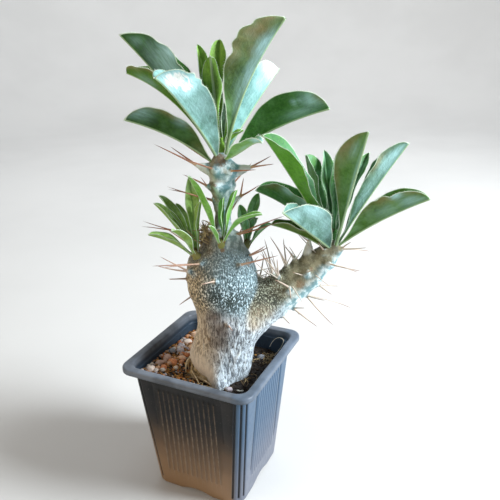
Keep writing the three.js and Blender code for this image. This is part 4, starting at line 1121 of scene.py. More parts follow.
def add_margin_hairs(build, middle, normal, s, length, seed):
    """Short stiff hairs along both margins and along the keel"""
    rng = random.Random(int(seed * 100))
    last = middle.shape[1] - 1
    steps = int(length * 0.86 / HAIR_SPACING)
    for column, inward, size in ((0, 1, 0.95), (last, last - 1, 0.95), (last // 2, None, 0.6)):
        for step in range(steps):
            share = 0.13 + 0.85 * (step + rng.random()) / steps
            at = np.interp(share, s, np.arange(len(s)))
            low = min(int(at), len(s) - 2)
            root = middle[low, column] + (at - low) * (middle[low + 1, column] - middle[low, column])
            if inward is None:
                away = -normal[low, column]
                root = root + away * 0.8 * (1 - 0.6 * share)
            else:
                away = unit(middle[low, column] - middle[low, inward])
            direction = unit(away + 0.5 * np.array([rng.uniform(-1, 1) for _ in range(3)]))
            points, faces = hair(root - 0.1 * direction, direction, size * rng.uniform(0.7, 1.4))
            build.add(to_pot(points), faces, edge=2.0, keel=1.0, run=share * length)


def leaf_finish(name, leaf, seed):
    """Satin green leaf with a pale keel and margin, tan and dark blotches, a bluish-white haze that is
    partly glaucous wax and partly painted sheen, and painted glare on the palest patches
    """
    green, deep, bloom = leaf["green"], leaf["deep"], leaf["bloom"]
    finish = Finish(name, IOR=1.42, Specular_IOR_Level=0.15, Sheen_Weight=0.01, Sheen_Roughness=0.4)
    run, reach, inner, keel, edge = (finish.value(key) for key in ("run", "reach", "inner", "keel", "edge"))
    place = finish.node("CombineXYZ", {"X": run, "Y": reach, "Z": finish.scaled(inner, 9, seed)})
    cloud = finish.noise(9, place)
    mottle = finish.noise(1.7, place, detail=4, rough=0.6)
    grain = finish.noise(1.1, finish.node("Mapping", {"Vector": place, "Scale": (0.16, 1, 1)}))
    slant = finish.scaled(finish.math("ABSOLUTE", reach), -0.9, run)
    line = finish.math("PINGPONG", finish.scaled(mottle, 4.5, slant), 2.6)
    vein = finish.span(line, 0, 0.9, 1, 0)
    dots = finish.node("TexVoronoi", {"Vector": finish.place(), "Scale": 1 / 1.3}, output="Distance")
    # pale: the leaf's listed pale patches, mostly painted sheen and glare, with a few pale marks of its own
    pale = finish.times(finish.value("pale"), finish.span(grain, 0.3, 0.65, 0.7, 1.1))
    haze = finish.math("MAXIMUM", pale, finish.span(cloud, 0.35, 0.75, 0, bloom))
    rib = finish.span(finish.times(keel, finish.scaled(inner, -0.6, 1)), 0.35, 0.8)
    colour = finish.mix(finish.span(cloud, 0.3, 0.7), deep, green)
    if leaf["inner_green"]:
        colour = finish.mix(inner, colour, leaf["inner_green"])
    colour = finish.over(
        colour,
        (tinted(deep, 0.5), finish.value("dark"), finish.span(cloud, 0.2, 0.6, 1.1, 0.8)),
        (tinted(green, 1.45), finish.span(mottle, 0.4, 0.7, 0, 0.3)),
        (tinted(deep, 0.55), finish.span(mottle, 0.5, 0.25, 0, 0.3)),
        (tinted(green, 1.7), vein, 0.04),
        (TAN, finish.value("tan"), finish.span(mottle, 0.3, 0.6, 0.75, 1.1)),
        # Bluish-white haze over pale patches, clouds and streaks: partly glaucous wax, partly painted sheen
        (BLOOM_AND_SHEEN, haze),
        (BLOOM_AND_SHEEN, finish.span(grain, 0.52, 0.72, 0, 0.5 * bloom)),
        # Painted glare: near white where the pale patches are strongest
        (GLARE, finish.span(pale, 1, 1.5)),
        (tinted(green, 1.6), finish.span(dots, 0.1, 0.2, 0.3, 0)),
        (KEEL, rib, 0.85),
        (FOOT_BROWN, finish.span(run, 0.4, 3, 1, 0)),
        (MARGIN, finish.span(edge, 0.34, 0.84)),
        (HAIR, finish.span(edge, 1.2, 1.8)))
    height = finish.scaled(vein, finish.scaled(inner, -0.3, 0.15), mottle)
    normal = finish.bump(finish.noise(0.35, detail=2), 0.05, finish.bump(height, 0.3))
    return finish.done(colour, finish.span(mottle, 0.3, 0.7, 0.4, 0.58), normal)


TOP_AXIS = (8.2, -3)
# Each leaf's greens and patches are set one by one: besides its own colour they hold painted light and
# shade, paler and bluer on lit leaves, darker on shaded ones, and the pale patches are mostly painted sheen
# and glare
TOP_LEAVES = [
    leaf_row([-43.3, -11.5, 241.9], 213.2, 14, 3.6, 63, 18, widest=0.63, slim=0.9, phase=0.4,
             notches=[(0.6, -1, 0.9, 0.05)],
             green=(0.04, 0.112, 0.014), deep=(0.022, 0.068, 0.009), bloom=0.04,
             pale=[(0.88, -0.7, 0.1, 0.4, 0.4), (0.53, -1, 0.07, 0.35, 0.4)],
             tan=[(0.6, -0.95, 0.25, 0.14, 0.6), (0.93, -1, 0.08, 0.25, 0.5), (0.25, -0.4, 0.1, 0.5, 0.3)],
             dark=[(0.72, -0.3, 0.2, 0.35, 0.4)]),
    leaf_row([68.2, -9, 245.9], 217.3, 17.6, 3.7, 62, -24, widest=0.66, slim=0.9, wave=0.6, phase=1,
             ripple=1.3, green=(0.046, 0.15, 0.024), deep=(0.022, 0.095, 0.012), bloom=0.03,
             pale=[(0.88, 0.6, 0.08, 0.35, 0.42), (0.78, 0.22, 0.14, 0.16, 0.3),
                   (0.75, 0.6, 0.025, 0.12, 0.4), (0.8, 0.62, 0.025, 0.12, 0.35)],
             tan=[(0.95, 0.9, 0.06, 0.3, 0.4)],
             dark=[(0.5, 0.5, 0.2, 0.6, 0.35), (0.7, 0.85, 0.1, 0.3, 0.3)]),
    leaf_row([-3, 54, 242], 214.6, 13, 3, 54, phase=2, pale=[(0.6, 0.6, 0.2, 0.5, 0.3)]),
    leaf_row([-51, 44, 262.9], 216, 12.3, 7.8, 64, 9, widest=0.68, slim=0.5, taper=0.4, phase=3, ripple=1.4,
             green=(0.075, 0.185, 0.008), deep=(0.045, 0.13, 0.005), bloom=0.0,
             pale=[(0.8, -0.2, 0.1, 0.25, 0.3)],
             tan=[(0.93, -0.95, 0.1, 0.25, 0.75), (0.75, -1, 0.15, 0.18, 0.6)]),
    leaf_row([29.8, -33, 235.3], 217.5, 6.4, -1, 45, 2, widest=0.63, slim=0.7, phase=1, hook=3,
             green=(0.18, 0.38, 0.07), deep=(0.11, 0.26, 0.035), bloom=0.12,
             pale=[(0.95, 0, 0.1, 1.5, 1.0), (0.6, 0.1, 0.3, 0.25, 0.4)]),
    leaf_row([-45, 3.8, 285.2], 218.2, 18, 2.8, 69, 9, slim=0.45, taper=0.7, wave=1.2, phase=1.2, ripple=1.8,
             notches=[(0.79, -1, 1.2, 0.04), (0.63, -1, 1.6, 0.03)],
             green=(0.040, 0.135, 0.016), deep=(0.018, 0.068, 0.006), bloom=0.03,
             pale=[(0.71, -0.95, 0.08, 0.35, 0.95), (0.66, -0.6, 0.16, 0.45, 0.6),
                   (0.9, -0.5, 0.05, 0.3, 0.3), (0.5, -0.6, 0.12, 0.5, 0.5)],
             dark=[(0.86, -0.3, 0.12, 0.22, 0.8), (0.7, -0.08, 0.2, 0.2, 0.6)]),
    leaf_row([43.5, 45.8, 263.9], 218.3, 16, 0.8, 56, -49, widest=0.8, slim=0.6, taper=0.67, ripple=1.6,
             green=(0.14, 0.30, 0.27), deep=(0.08, 0.20, 0.175), bloom=0.25,
             pale=[(0.94, 0.5, 0.15, 0.9, 1.7), (0.75, 0.4, 0.12, 0.4, 0.8), (0.6, 0.4, 0.15, 0.4, 0.3)]),
    leaf_row([-21.1, -35.8, 266.5], 218.9, 16.7, 2, 63, 8, stand=2.6, widest=0.69, slim=0.5, wave=1.2,
             phase=2.6, hook=1.5, ripple=1.6,
             notches=[(0.74, -1, 1.4, 0.025), (0.66, -1, 1.2, 0.02), (0.85, -1, 1.0, 0.03)],
             green=(0.17, 0.34, 0.30), deep=(0.10, 0.22, 0.165), bloom=0.45,
             pale=[(0.86, -0.5, 0.13, 0.5, 2.0), (0.75, -0.6, 0.1, 0.42, 1.6), (0.8, -0.95, 0.05, 0.2, 0.7),
                   (0.55, -0.5, 0.15, 0.5, 0.5)],
             dark=[(0.35, -0.35, 0.12, 0.5, 0.25)]),
    leaf_row([42.6, -27, 291.8], 219, 18.8, 4.7, 60, 11, stand=2.8, widest=0.79, slim=1.05, taper=0.77,
             wave=1.4, phase=0.5, ripple=1.5,
             notches=[(0.885, 1, 2.0, 0.022), (0.7, 1, 2.2, 0.03), (0.79, 1, 0.8, 0.02)],
             green=(0.105, 0.205, 0.055), deep=(0.052, 0.13, 0.03), bloom=0.08,
             pale=[(0.8, 0.12, 0.12, 0.2, 0.95), (0.62, 0.1, 0.18, 0.2, 0.85), (0.45, 0.15, 0.15, 0.3, 0.5)],
             tan=[(0.87, 0.65, 0.1, 0.4, 0.95), (0.95, 0.8, 0.05, 0.3, 0.9), (0.72, 0.9, 0.14, 0.3, 0.7),
                  (0.76, 0.4, 0.08, 0.25, 0.5)],
             dark=[(0.81, 1, 0.04, 0.3, 0.7), (0.86, 0.32, 0.04, 0.16, 0.7), (0.55, 0.6, 0.12, 0.4, 0.6),
                   (0.66, 0.7, 0.05, 0.3, 0.5)]),
]
BRANCH_AXIS = (75.8, 6.2)
# Set like the top leaves, with the same painted light and shade in their greens and patches
BRANCH_LEAVES = [
    leaf_row([126.3, -15.4, 195.7], 159.5, 14.6, 2.2, 74, -5, widest=0.63, slim=0.9, wave=1.2, phase=0.6,
             ripple=1.6, notches=[(0.6, 1, 1.2, 0.03), (0.72, 1, 1.2, 0.03)],
             green=(0.095, 0.215, 0.038), deep=(0.052, 0.145, 0.02), bloom=0.1,
             pale=[(0.77, 1, 0.05, 0.3, 0.9), (0.86, 0.35, 0.12, 0.3, 0.5), (0.62, 0.3, 0.12, 0.3, 0.3)],
             tan=[(0.66, 0.95, 0.1, 0.3, 0.7), (0.9, 0.95, 0.1, 0.25, 0.5), (0.5, 1, 0.1, 0.25, 0.4)],
             dark=[(0.54, 0.5, 0.1, 0.4, 0.5)]),
    leaf_row([37.2, -2.7, 177.8], 156.8, 8.8, 2.1, 45, widest=0.63,
             green=(0.095, 0.165, 0.02), deep=(0.052, 0.105, 0.012), bloom=0.03,
             tan=[(0.6, -0.95, 0.4, 0.2, 0.6)]),
    leaf_row([28.4, 19.7, 193], 159.5, 15, 4.5, 60, 10, slim=0.6, taper=0.5, phase=1, ripple=1.6,
             green=(0.088, 0.26, 0.055), deep=(0.046, 0.17, 0.03), bloom=0.12,
             pale=[(0.7, -1, 0.06, 0.3, 0.9), (0.5, -0.85, 0.1, 0.35, 0.5)],
             tan=[(0.85, -0.9, 0.1, 0.3, 0.6)], dark=[(0.6, -0.3, 0.2, 0.3, 0.3)]),
    leaf_row([86.2, 60.2, 202.2], 157.5, 13, 3, 51, phase=2, pale=[(0.6, 0.6, 0.2, 0.5, 0.3)]),
    leaf_row([41.7, -37.3, 195.6], 158.7, 16.6, 0.1, 71, 3, widest=0.49, taper=0.74, wave=0.5, phase=1,
             ripple=1.3, green=(0.11, 0.225, 0.18), deep=(0.065, 0.15, 0.11), bloom=0.25,
             pale=[(0.66, -0.8, 0.2, 0.3, 0.75), (0.85, -0.3, 0.12, 0.5, 0.5), (0.4, -0.7, 0.12, 0.3, 0.4)],
             dark=[(0.5, -0.05, 0.3, 0.2, 0.35), (0.25, -0.5, 0.1, 0.6, 0.35)]),
    leaf_row([118.5, 8.7, 223.3], 161.6, 13.2, 0.9, 58, -19, stand=2.8, widest=0.73, taper=0.5, phase=2.4,
             ripple=1.3, green=(0.085, 0.18, 0.085), deep=(0.048, 0.12, 0.045), bloom=0.15,
             pale=[(0.82, 0.35, 0.2, 0.35, 0.8), (0.5, 0.4, 0.25, 0.35, 0.5)],
             tan=[(0.75, 0.9, 0.1, 0.25, 0.8)], dark=[(0.55, 0.9, 0.12, 0.25, 0.4)]),
    leaf_row([32.1, -12.9, 232.8], 162.3, 13.5, 1.2, 52, -24, widest=0.69, slim=0.7, taper=0.62, phase=1.5,
             wave=1.3, ripple=1.8, green=(0.12, 0.34, 0.035), deep=(0.08, 0.255, 0.022), bloom=0.02,
             inner_green=(0.085, 0.23, 0.09), pale=[(0.6, 0.6, 0.2, 0.4, 0.25)],
             dark=[(0.4, -0.3, 0.12, 0.5, 0.25)]),
    leaf_row([88.1, -21.3, 234.9], 160, 14.6, 0, 75, 14, stand=2.8, widest=0.74, slim=1.4, taper=0.7,
             wave=0.9, phase=0.8, ripple=1.3, green=(0.1, 0.225, 0.05), deep=(0.06, 0.17, 0.032), bloom=0.06,
             pale=[(0.6, 0.02, 0.4, 0.12, 0.6), (0.85, 0.4, 0.08, 0.2, 0.3)],
             tan=[(0.85, 0.85, 0.14, 0.35, 0.8), (0.6, 1, 0.2, 0.25, 0.7)],
             dark=[(0.5, 0.4, 0.2, 0.3, 0.3)]),
]


def add_leaves():
    heads = (("top_leaf", TOP_AXIS, TOP_LEAVES, 0.5), ("branch_leaf", BRANCH_AXIS, BRANCH_LEAVES, 10.5))
    for name, axis, leaves, first_seed in heads:
        for index, leaf in enumerate(leaves):
            node, seed = f"{name}_{index + 1:02d}", first_seed + index
            build = Build("run", "reach", "inner", "keel", "edge", "pale", "dark", "tan")
            add_blade(build, axis, leaf, seed)
            build.finish(node + "_blade", leaf_finish(node + "_green", leaf, seed), "leaf", [node])


add_leaves()


# Buds and small leafy shoots

def shoot_leaf(tip, rise, width, arch=2):
    return leaf_row(tip, rise, width, arch, fold=45, wave=0.4)


BUD_AXES = {"top_bud": TOP_AXIS, "branch_bud": BRANCH_AXIS}
# Rings x, y, z and radius of the short stem, its leaves, and their greens and their share of bluish-white
# haze, partly painted sheen
SHOOTS = {
    "top_bud": (
        [[8.2, -3, 221, 3.6], [8.2, -3, 226, 2.2], [8.2, -3, 230, 1.2]],
        [leaf_row([21, 3, 233], 224, 3, 1), leaf_row([21, 12, 250.2], 225, 4, 1),
         leaf_row([4.2, -6, 273.8], 226.4, 8.3, -1.7, 65, 60, widest=0.77, slim=1, taper=0.35),
         leaf_row([-4.1, 15, 279.5], 227.2, 4.5, 0.8, 48, -10, widest=0.79, slim=0.9),
         leaf_row([8.8, 12, 281.9], 228, 6.5, 2, 52, -14, widest=0.8, slim=1, taper=0.45)],
        dict(green=(0.24, 0.43, 0.055), deep=(0.12, 0.26, 0.035), bloom=0.06)),
    "branch_bud": (
        [[76.3, 6.3, 163, 3.4], [77.2, 6.4, 168, 2.2], [77.8, 6.5, 171, 1.2]],
        [leaf_row([102.5, 41, 211.3], 167.3, 6, 1, 52, -2),
         leaf_row([58.9, 18, 215.3], 167, 12, -2, 43, 17, widest=0.74, slim=0.85, taper=0.36, phase=2),
         leaf_row([71, 25, 216.4], 168, 6, 1, 50), leaf_row([79.5, 19, 217], 169, 5, 1, 50, phase=1)],
        dict(green=(0.12, 0.29, 0.08), deep=(0.065, 0.19, 0.045), bloom=0.25)),
    "left_shoot": (
        [[-3, -10, 156, 4], [-8, -12.5, 162.5, 2.8], [-9.5, -13, 166, 1.3]],
        [shoot_leaf([-34, -19, 178], 162, 5.5), shoot_leaf([-19.5, -27, 183], 163, 5),
         shoot_leaf([-31, -10, 194], 164, 5.5, 1.5), shoot_leaf([-29.5, 1, 195.5], 164, 5),
         shoot_leaf([-3.6, -11, 195.2], 165, 4.5, 1), shoot_leaf([-10.5, -3, 208], 165, 5, 1),
         shoot_leaf([-20, 3, 190], 163, 4, 1)],
        dict(green=(0.30, 0.46, 0.09), deep=(0.18, 0.31, 0.06), bloom=0.2)),
    "centre_shoot": (
        [[8, -10, 162, 4], [7.2, -14.5, 170, 2.5], [7, -15.5, 173.5, 1.3]],
        [shoot_leaf([-9.5, -20, 212], 172, 5.5, 1), shoot_leaf([9.5, -13.6, 198], 173, 4, 0.5),
         shoot_leaf([17, -13, 202], 172, 4.5, 0.5), shoot_leaf([31, -23, 190.5], 171, 4.5, 4),
         shoot_leaf([1, -22, 184], 170, 2.6, 0.5)],
        dict(green=(0.22, 0.48, 0.08), deep=(0.13, 0.34, 0.05), bloom=0.15)),
    "back_shoot": (
        [[15, 0, 156, 4], [22, 5, 162, 2.6], [23.5, 6, 165.5, 1.3]],
        [shoot_leaf([30, 20, 191], 163, 4.5, 1), shoot_leaf([29, 10, 178], 164, 4, 1),
         shoot_leaf([21, 9, 179], 164, 3, 0.5), shoot_leaf([37, 6, 175.5], 162, 4, 1),
         shoot_leaf([18, 19, 184], 163, 4, 1)],
        dict(green=(0.18, 0.38, 0.10), deep=(0.10, 0.25, 0.06), bloom=0.3)),
}
WIDE_LEAF = 5.9


def add_shoots():
    for order, (name, (core, leaves, look)) in enumerate(SHOOTS.items()):
        build = Build("run", "reach", "inner", "keel", "edge", "pale", "dark", "tan")
        rows = curve_through(core, 6)
        points, faces = tube(rows[:, :3], rows[:, 3] * 0.9, 20)
        knobbly = points + 0.5 * noise_at(points, 1.6, 9)[:, None]
        build.add(to_pot(knobbly), faces, run=9.0 if name in BUD_AXES else 1.4)
        for index, leaf in enumerate(leaves):
            seed = 20.5 + 10 * order + index
            add_blade(build, BUD_AXES.get(name, core[1][:2]), leaf, seed, small=leaf["width"] <= WIDE_LEAF)
        finish = leaf_finish(name + "_green", {**LEAF_FORM, **look}, order + 40.0)
        build.finish(name + "_leaves", finish, "young_leaf", [name])


add_shoots()


# Soil, stones, grit and dry strands

SOIL_LEVEL = 79.6
GAP = 0.3
SOIL_CORNER = 7.3
EDGE_DIP = 0.4
SOIL_REACH = inner_width(SOIL_LEVEL) / 2
TRUNK_FOOT = to_pot([6, -5, 0])[:2]


def soil_height(x, y):
    return SOIL_LEVEL - 0.07 * x - 0.06 * y + 0.7 * np.sin(x / 5.1 + 1) * np.cos(y / 4.3)


def soil_finish():
    finish = Finish("gritty_soil", roughness=0.9)
    crumb = finish.noise(1.1, detail=5, rough=0.7)
    speck = finish.span(finish.noise(0.6, detail=2), 0.66, 0.74)
    colour = finish.mix(finish.span(crumb, 0.38, 0.62), (0.007, 0.006, 0.006), (0.028, 0.018, 0.013))
    return finish.done(finish.over(colour, ((0.26, 0.14, 0.06), speck, 0.6)), None, finish.bump(crumb, 0.8))


def add_soil():
    ring = square_ring(2 * SOIL_REACH - 2 * GAP, SOIL_CORNER)[0][::3]
    shares = np.concatenate([[1.0, 0.995], np.linspace(0.98, 0.02, 64)])
    x, y = np.moveaxis(ring * shares[:, None, None], -1, 0)
    top = np.stack([x, y, soil_height(x, y)], axis=-1)
    top[..., 2] += 0.5 * noise_at(top, 2.2, 7) + 0.35 * noise_at(top, 0.9, 8)
    top[0, :, 2] -= EDGE_DIP
    narrowing = inner_width(POT_FLOOR) / inner_width(SOIL_LEVEL)
    foot = np.column_stack([ring * narrowing, np.full(len(ring), POT_FLOOR + GAP)])
    build = Build()
    build.add(*body([foot, *top]))
    build.finish("soil_bed", soil_finish(), "soil", ["soil"])


add_soil()

PEACH = ((0.66, 0.39, 0.24), (0.82, 0.60, 0.43))
PALE = ((0.72, 0.54, 0.44), (0.86, 0.76, 0.68))
TAN_STONE = ((0.56, 0.33, 0.17), (0.70, 0.48, 0.29))
LILAC = ((0.34, 0.30, 0.33), (0.52, 0.47, 0.50))
SLATE = ((0.16, 0.17, 0.20), (0.28, 0.29, 0.32))
ROSE = ((0.48, 0.30, 0.24), (0.66, 0.47, 0.38))
ORANGE = ((0.54, 0.18, 0.065), (0.70, 0.31, 0.14))
# Larger stones on the soil: x, y, half length, half width, half height, and darker and lighter colour
PEBBLES = [
    (-30.5, 27, 3.6, 2.8, 2.2, PEACH), (-31, 16.5, 3.2, 2.6, 2.2, PALE), (-24.6, 11, 3, 2.4, 2, TAN_STONE),
    (-31, 8, 3.4, 2.8, 2.4, LILAC), (-27.6, 1.6, 2.8, 2.4, 2, LILAC), (-32.4, -1.6, 2.6, 2.4, 2, SLATE),
    (-31.5, -9.6, 3.2, 2.6, 2.2, ROSE), (-25.2, -12, 3.6, 2.8, 2.2, ORANGE),
    (-22.4, -5, 2.8, 2.2, 1.8, PEACH), (-31.8, -18, 3, 2.4, 2, ROSE), (-26, -22, 2.6, 2.2, 1.8, ORANGE),
    (-31.6, -28, 3, 2.6, 2, PALE), (21, -22, 2.4, 2, 1.6, LILAC), (22, 25, 2.8, 2.4, 2, SLATE),
]
PEBBLE_SINK = 0.35
STONE_SLOTS = ["stone_tan", "stone_peach", "stone_terracotta", "stone_grey", "stone_pale"]


def stone_finish(name, dark, light):
    finish = Finish(name, roughness=0.75)
    band = finish.noise(2.4, detail=5, warp=1.2)
    fleck = finish.span(finish.noise(0.5, detail=2), 0.58, 0.7)
    colour = finish.mix(finish.span(band, 0.35, 0.65), dark, light)
    colour = finish.over(colour, (tinted(dark, 0.35), fleck, 0.3))
    normal = finish.bump(finish.noise(0.45, detail=4), 0.12, finish.bump(band, 0.3))
    return finish.done(colour, finish.span(band, 0.3, 0.7, 0.6, 0.85), normal)


def ball(level):
    """Points on a unit ball from a split icosahedron, and its faces"""
    made = bmesh.new()
    bmesh.ops.create_icosphere(made, subdivisions=level, radius=1.0)
    points = np.array([vertex.co for vertex in made.verts])
    faces = [[vertex.index for vertex in face.verts] for face in made.faces]
    made.free()
    return points, faces


def laid(shaped, angle, x, y, lift):
    """A stone's points, turned about the upright and laid on the soil at x, y"""
    return spun(shaped, angle) + [x, y, soil_height(x, y) + lift]


def add_pebbles():
    points, faces = ball(4)
    for index, (x, y, length, width, height, look) in enumerate(PEBBLES):
        lump = 1 + 0.16 * noise_at(points, 0.9, index) + 0.05 * noise_at(points, 0.3, index)
        flat = np.clip(np.abs(noise_at(points, 1.6, index + 30)) * 2, 0, 1)
        shaped = points * (lump - 0.05 * flat)[:, None] * [length, width, height]
        build = Build()
        build.add(laid(shaped, math.radians(47 * index), x, y, height * PEBBLE_SINK), faces)
        name = f"stone_{index + 1:02d}"
        slot = STONE_SLOTS[index % len(STONE_SLOTS)]
        build.finish(name, stone_finish(name + "_look", *look), slot, [f"pebble_{index + 1:02d}"])


add_pebbles()

# Colours of grains and small stones from tint 0 to tint 1
GRAIN_TINTS = [
    (0.0, (0.010, 0.009, 0.009)), (0.16, (0.038, 0.023, 0.015)), (0.34, (0.25, 0.105, 0.022)),
    (0.52, (0.52, 0.255, 0.062)), (0.64, (0.52, 0.17, 0.06)), (0.76, (0.74, 0.44, 0.26)),
    (0.88, (0.36, 0.33, 0.36)), (1.0, (0.84, 0.74, 0.62)),
]
GRAINS = 7600
GRAINS_CLEAR_OF_TRUNK = 15.5
SMALL_STONES = 85


def grain_finish(name):
    """Colour of a grain or a stone from its tint, with dark stains"""
    finish = Finish(name, roughness=0.8, Specular_IOR_Level=0.2)
    tint = finish.node("ValToRGB", {"Fac": finish.value("tint")})
    stops = tint.node.color_ramp.elements
    while len(stops) < len(GRAIN_TINTS):
        stops.new(0.5)
    for stop, (place, colour) in zip(stops, GRAIN_TINTS):
        stop.position = place
        stop.color = (*colour, 1)
    shade = finish.noise(0.7, detail=4)
    colour = finish.mix(finish.span(shade, 0.3, 0.7, 0.45, 0), tint, (0.04, 0.024, 0.014))
    return finish.done(colour, None, finish.bump(shade, 0.25))


def add_grain(build, shape, x, y, scale, lift, tint, rng):
    """Small uneven stone on the soil at x, y"""
    points, faces = shape
    turn = rng.uniform(0, 6.28)
    lump = np.array([rng.uniform(0.82, 1.12) for _ in points])
    build.add(laid(points * lump[:, None] * scale, turn, x, y, lift), faces, tint=tint)


def add_grit():
    """Golden grains on the left and dark ones on the right"""
    rng = random.Random(5)
    shape = ball(1)
    build = Build("tint")
    half = SOIL_REACH - 1.0
    for _ in range(GRAINS):
        x, y = rng.uniform(-half, half), rng.uniform(-half, half)
        if math.hypot(x - TRUNK_FOOT[0], y - TRUNK_FOOT[1]) < GRAINS_CLEAR_OF_TRUNK:
            continue
        rich = float(smoothstep(-x - 0.25 * y, -6, 10))
        if rng.random() > 0.25 + 0.65 * rich:
            continue
        size = 0.35 + 0.75 * rng.random() ** 2.0
        if rng.random() < 0.06:
            size *= 1.5
        scale = [size * rng.uniform(0.8, 1.4), size * rng.uniform(0.7, 1.1), size * rng.uniform(0.6, 0.95)]
        tint = rng.uniform(0.28, 0.6)
        if rng.random() > 0.03 + 0.77 * rich:
            tint = rng.uniform(0, 0.17)
        elif rng.random() < 0.22:
            tint = rng.uniform(0.6, 1.0)
        add_grain(build, shape, x, y, scale, 0.35 * size, tint, rng)
    build.finish("grit_grains", grain_finish("grit"), "soil", ["soil"], smooth=False)


def add_small_stones():
    """Stones a few millimetres across among the pebbles on the left"""
    rng = random.Random(8)
    shape = ball(2)
    build = Build("tint")
    for _ in range(SMALL_STONES):
        x = -SOIL_REACH + 2.2 + 17 * rng.random() ** 1.3
        y = rng.uniform(-SOIL_REACH + 3, SOIL_REACH - 3)
        size = rng.uniform(0.9, 2.0)
        scale = [size * rng.uniform(0.95, 1.3), size * rng.uniform(0.8, 1.0), size * rng.uniform(0.65, 0.85)]
        add_grain(build, shape, x, y, scale, 0.45 * size, rng.uniform(0.58, 1.0), rng)
    build.finish("small_stones", grain_finish("small_stone"), "soil", ["soil"])


add_grit()
add_small_stones()

OLD_ROOTS = 46
LITTER = 90
TUFT_BLADES = 210
# Middle of the mossy tuft and how far it spreads, the pale thread beside it, and white flakes: x, y
TUFT = (27.0, 26.0, 3.6)
THREAD = [
    [25, 33.5, 81], [26.4, 34.2, 84.5], [28.8, 35.2, 87.4], [32, 35, 89], [35.2, 33.4, 88.6],
    [35.2, 31.4, 86.2], [33.8, 28.4, 83], [32, 24.5, 80.4],
]
THREAD_RADIUS = 0.18
FLAKES = [(16.9, -23.2), (19.5, -22.2), (26.9, -21.2), (29.1, -20.2)]


def strand_finish(name):
    """Dry plant matter: brown at tint 0, straw at 0.5, white at 1"""
    finish = Finish(name, roughness=0.8)
    shade, tint = finish.noise(1.5), finish.value("tint")
    colour = finish.over((0.14, 0.085, 0.04),
                         ((0.60, 0.44, 0.22), finish.span(tint, 0, 0.5)),
                         ((0.80, 0.80, 0.72), finish.span(tint, 0.5, 1)),
                         ((0.10, 0.06, 0.03), finish.span(shade, 0.35, 0.65, 0.45, 0)))
    return finish.done(colour, None, finish.bump(shade, 0.1))


def lying_strand(build, middle, heading, length, bend, radius, rise, tint):
    """Curved strand on the soil, highest halfway along"""
    path = []
    steps = np.linspace(-0.5, 0.5, 9)
    for t in steps:
        turn = heading + bend * t
        place = middle + length * t * np.array([math.cos(turn), math.sin(turn)])
        place = np.clip(place, 1.2 - SOIL_REACH, SOIL_REACH - 1.2)
        path.append([*place, soil_height(*place) + 0.5 + rise * math.cos(math.pi * t)])
    build.add(*tube(path, radius * (1 - 0.9 * np.abs(steps)), 6), tint=tint)


def foot_side(angle, away):
    """Place on the soil at an angle round the trunk's foot and a distance from its middle"""
    return TRUNK_FOOT + away * np.array([math.cos(angle), math.sin(angle)])


def add_roots_and_litter(build, rng):
    """Dry roots at the trunk's left and front, and leaf litter round it"""
    for _ in range(OLD_ROOTS):
        angle = math.radians(rng.uniform(165, 272))
        middle = foot_side(angle, rng.uniform(18.4, 23.4))
        heading = angle + math.pi / 2 + rng.uniform(-0.5, 0.5)
        lying_strand(build, middle, heading, rng.uniform(9, 20), rng.uniform(0.3, 1.0),
                     rng.uniform(0.45, 0.95), rng.uniform(0.8, 4.8), rng.uniform(0.48, 0.68))
    for _ in range(LITTER):
        angle = math.radians(rng.uniform(150, 300)) if rng.random() < 0.7 else rng.uniform(0, 6.28)
        middle = foot_side(angle, rng.uniform(17, 25))
        lying_strand(build, middle, rng.uniform(0, 6.28), rng.uniform(4, 12), rng.uniform(-1.5, 1.5),
                     rng.uniform(0.1, 0.24), rng.uniform(0.2, 0.9), rng.uniform(0.1, 0.6))


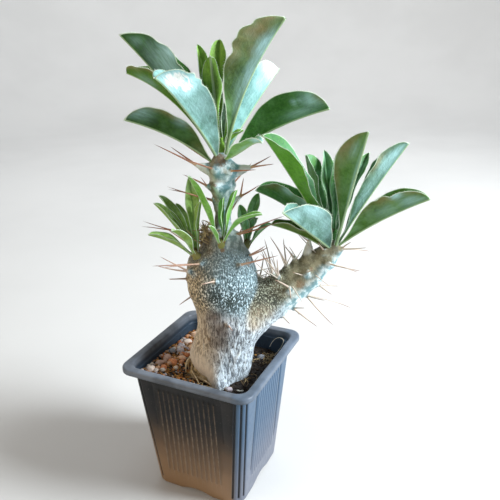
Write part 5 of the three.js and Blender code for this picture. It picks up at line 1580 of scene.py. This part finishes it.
def add_tuft(build, rng):
    """Mossy tuft of short drooping blades"""
    x, y, spread = TUFT
    t = np.linspace(0, 1, 6)[:, None]
    for _ in range(TUFT_BLADES):
        root = np.array([rng.gauss(x, spread), rng.gauss(y, spread)]).clip(2 - SOIL_REACH, SOIL_REACH - 2)
        root = np.array([*root, soil_height(*root)])
        lean = np.array([rng.uniform(-1, 1), rng.uniform(-1, 1), rng.uniform(0.1, 1.0)])
        droop = np.array([rng.uniform(-0.7, 0.7), rng.uniform(-0.7, 0.7), -0.5])
        path = root + rng.uniform(1.6, 3.6) * (unit(lean) * t + droop * t ** 2)
        path[:, :2] = path[:, :2].clip(1 - SOIL_REACH, SOIL_REACH - 1)
        build.add(*tube(path, 0.17 * (1 - 0.7 * t[:, 0]), 4), tint=rng.uniform(0.2, 0.52))


def add_strands():
    """Old roots, litter, the tuft, the pale thread and the white flakes"""
    rng = random.Random(9)
    build = Build("tint")
    add_roots_and_litter(build, rng)
    add_tuft(build, rng)
    thread = curve_through(THREAD, 5)
    build.add(*tube(thread, np.full(len(thread), THREAD_RADIUS), 6), tint=0.8)
    for flake in FLAKES:
        lying_strand(build, flake, rng.uniform(0, 3.1), rng.uniform(2.4, 3.6), 1.4, 0.6, 0.5, 0.95)
    build.finish("dry_strands", strand_finish("dry_strand"), "soil", ["soil"])


# Middle of the dry leaf bases on the trunk's left shoulder, in the plant's frame
DRY_BASES = np.array([-1.5, -9.5, 176.5])
DRY_BASE_COUNT = 64


def add_dry_bases():
    """Brown curled remains of old leaves beside the main stem"""
    rng = random.Random(14)
    build = Build("tint")
    t = np.linspace(0, 1, 7)
    for _ in range(DRY_BASE_COUNT):
        root = DRY_BASES + [rng.gauss(0, 3.2), rng.gauss(0, 1.8), rng.uniform(-9, 3)]
        lean = unit(np.array([rng.uniform(-0.9, 0.5), rng.uniform(-0.9, 0.3), rng.uniform(0.3, 1.2)]))
        curl = np.array([rng.uniform(-1, 1), rng.uniform(-1, 1), rng.uniform(-0.8, 0.2)])
        length = rng.uniform(3, 9)
        path = root + length * (lean * t[:, None] + 0.35 * curl * (t ** 2)[:, None])
        radii = rng.uniform(0.3, 0.85) * (1 - 0.85 * t)
        build.add(*tube(to_pot(path), radii, 5), tint=rng.uniform(0.2, 0.6))
    build.finish("dry_leaf_bases", strand_finish("dry_base"), "bark", ["caudex"])


add_strands()
add_dry_bases()
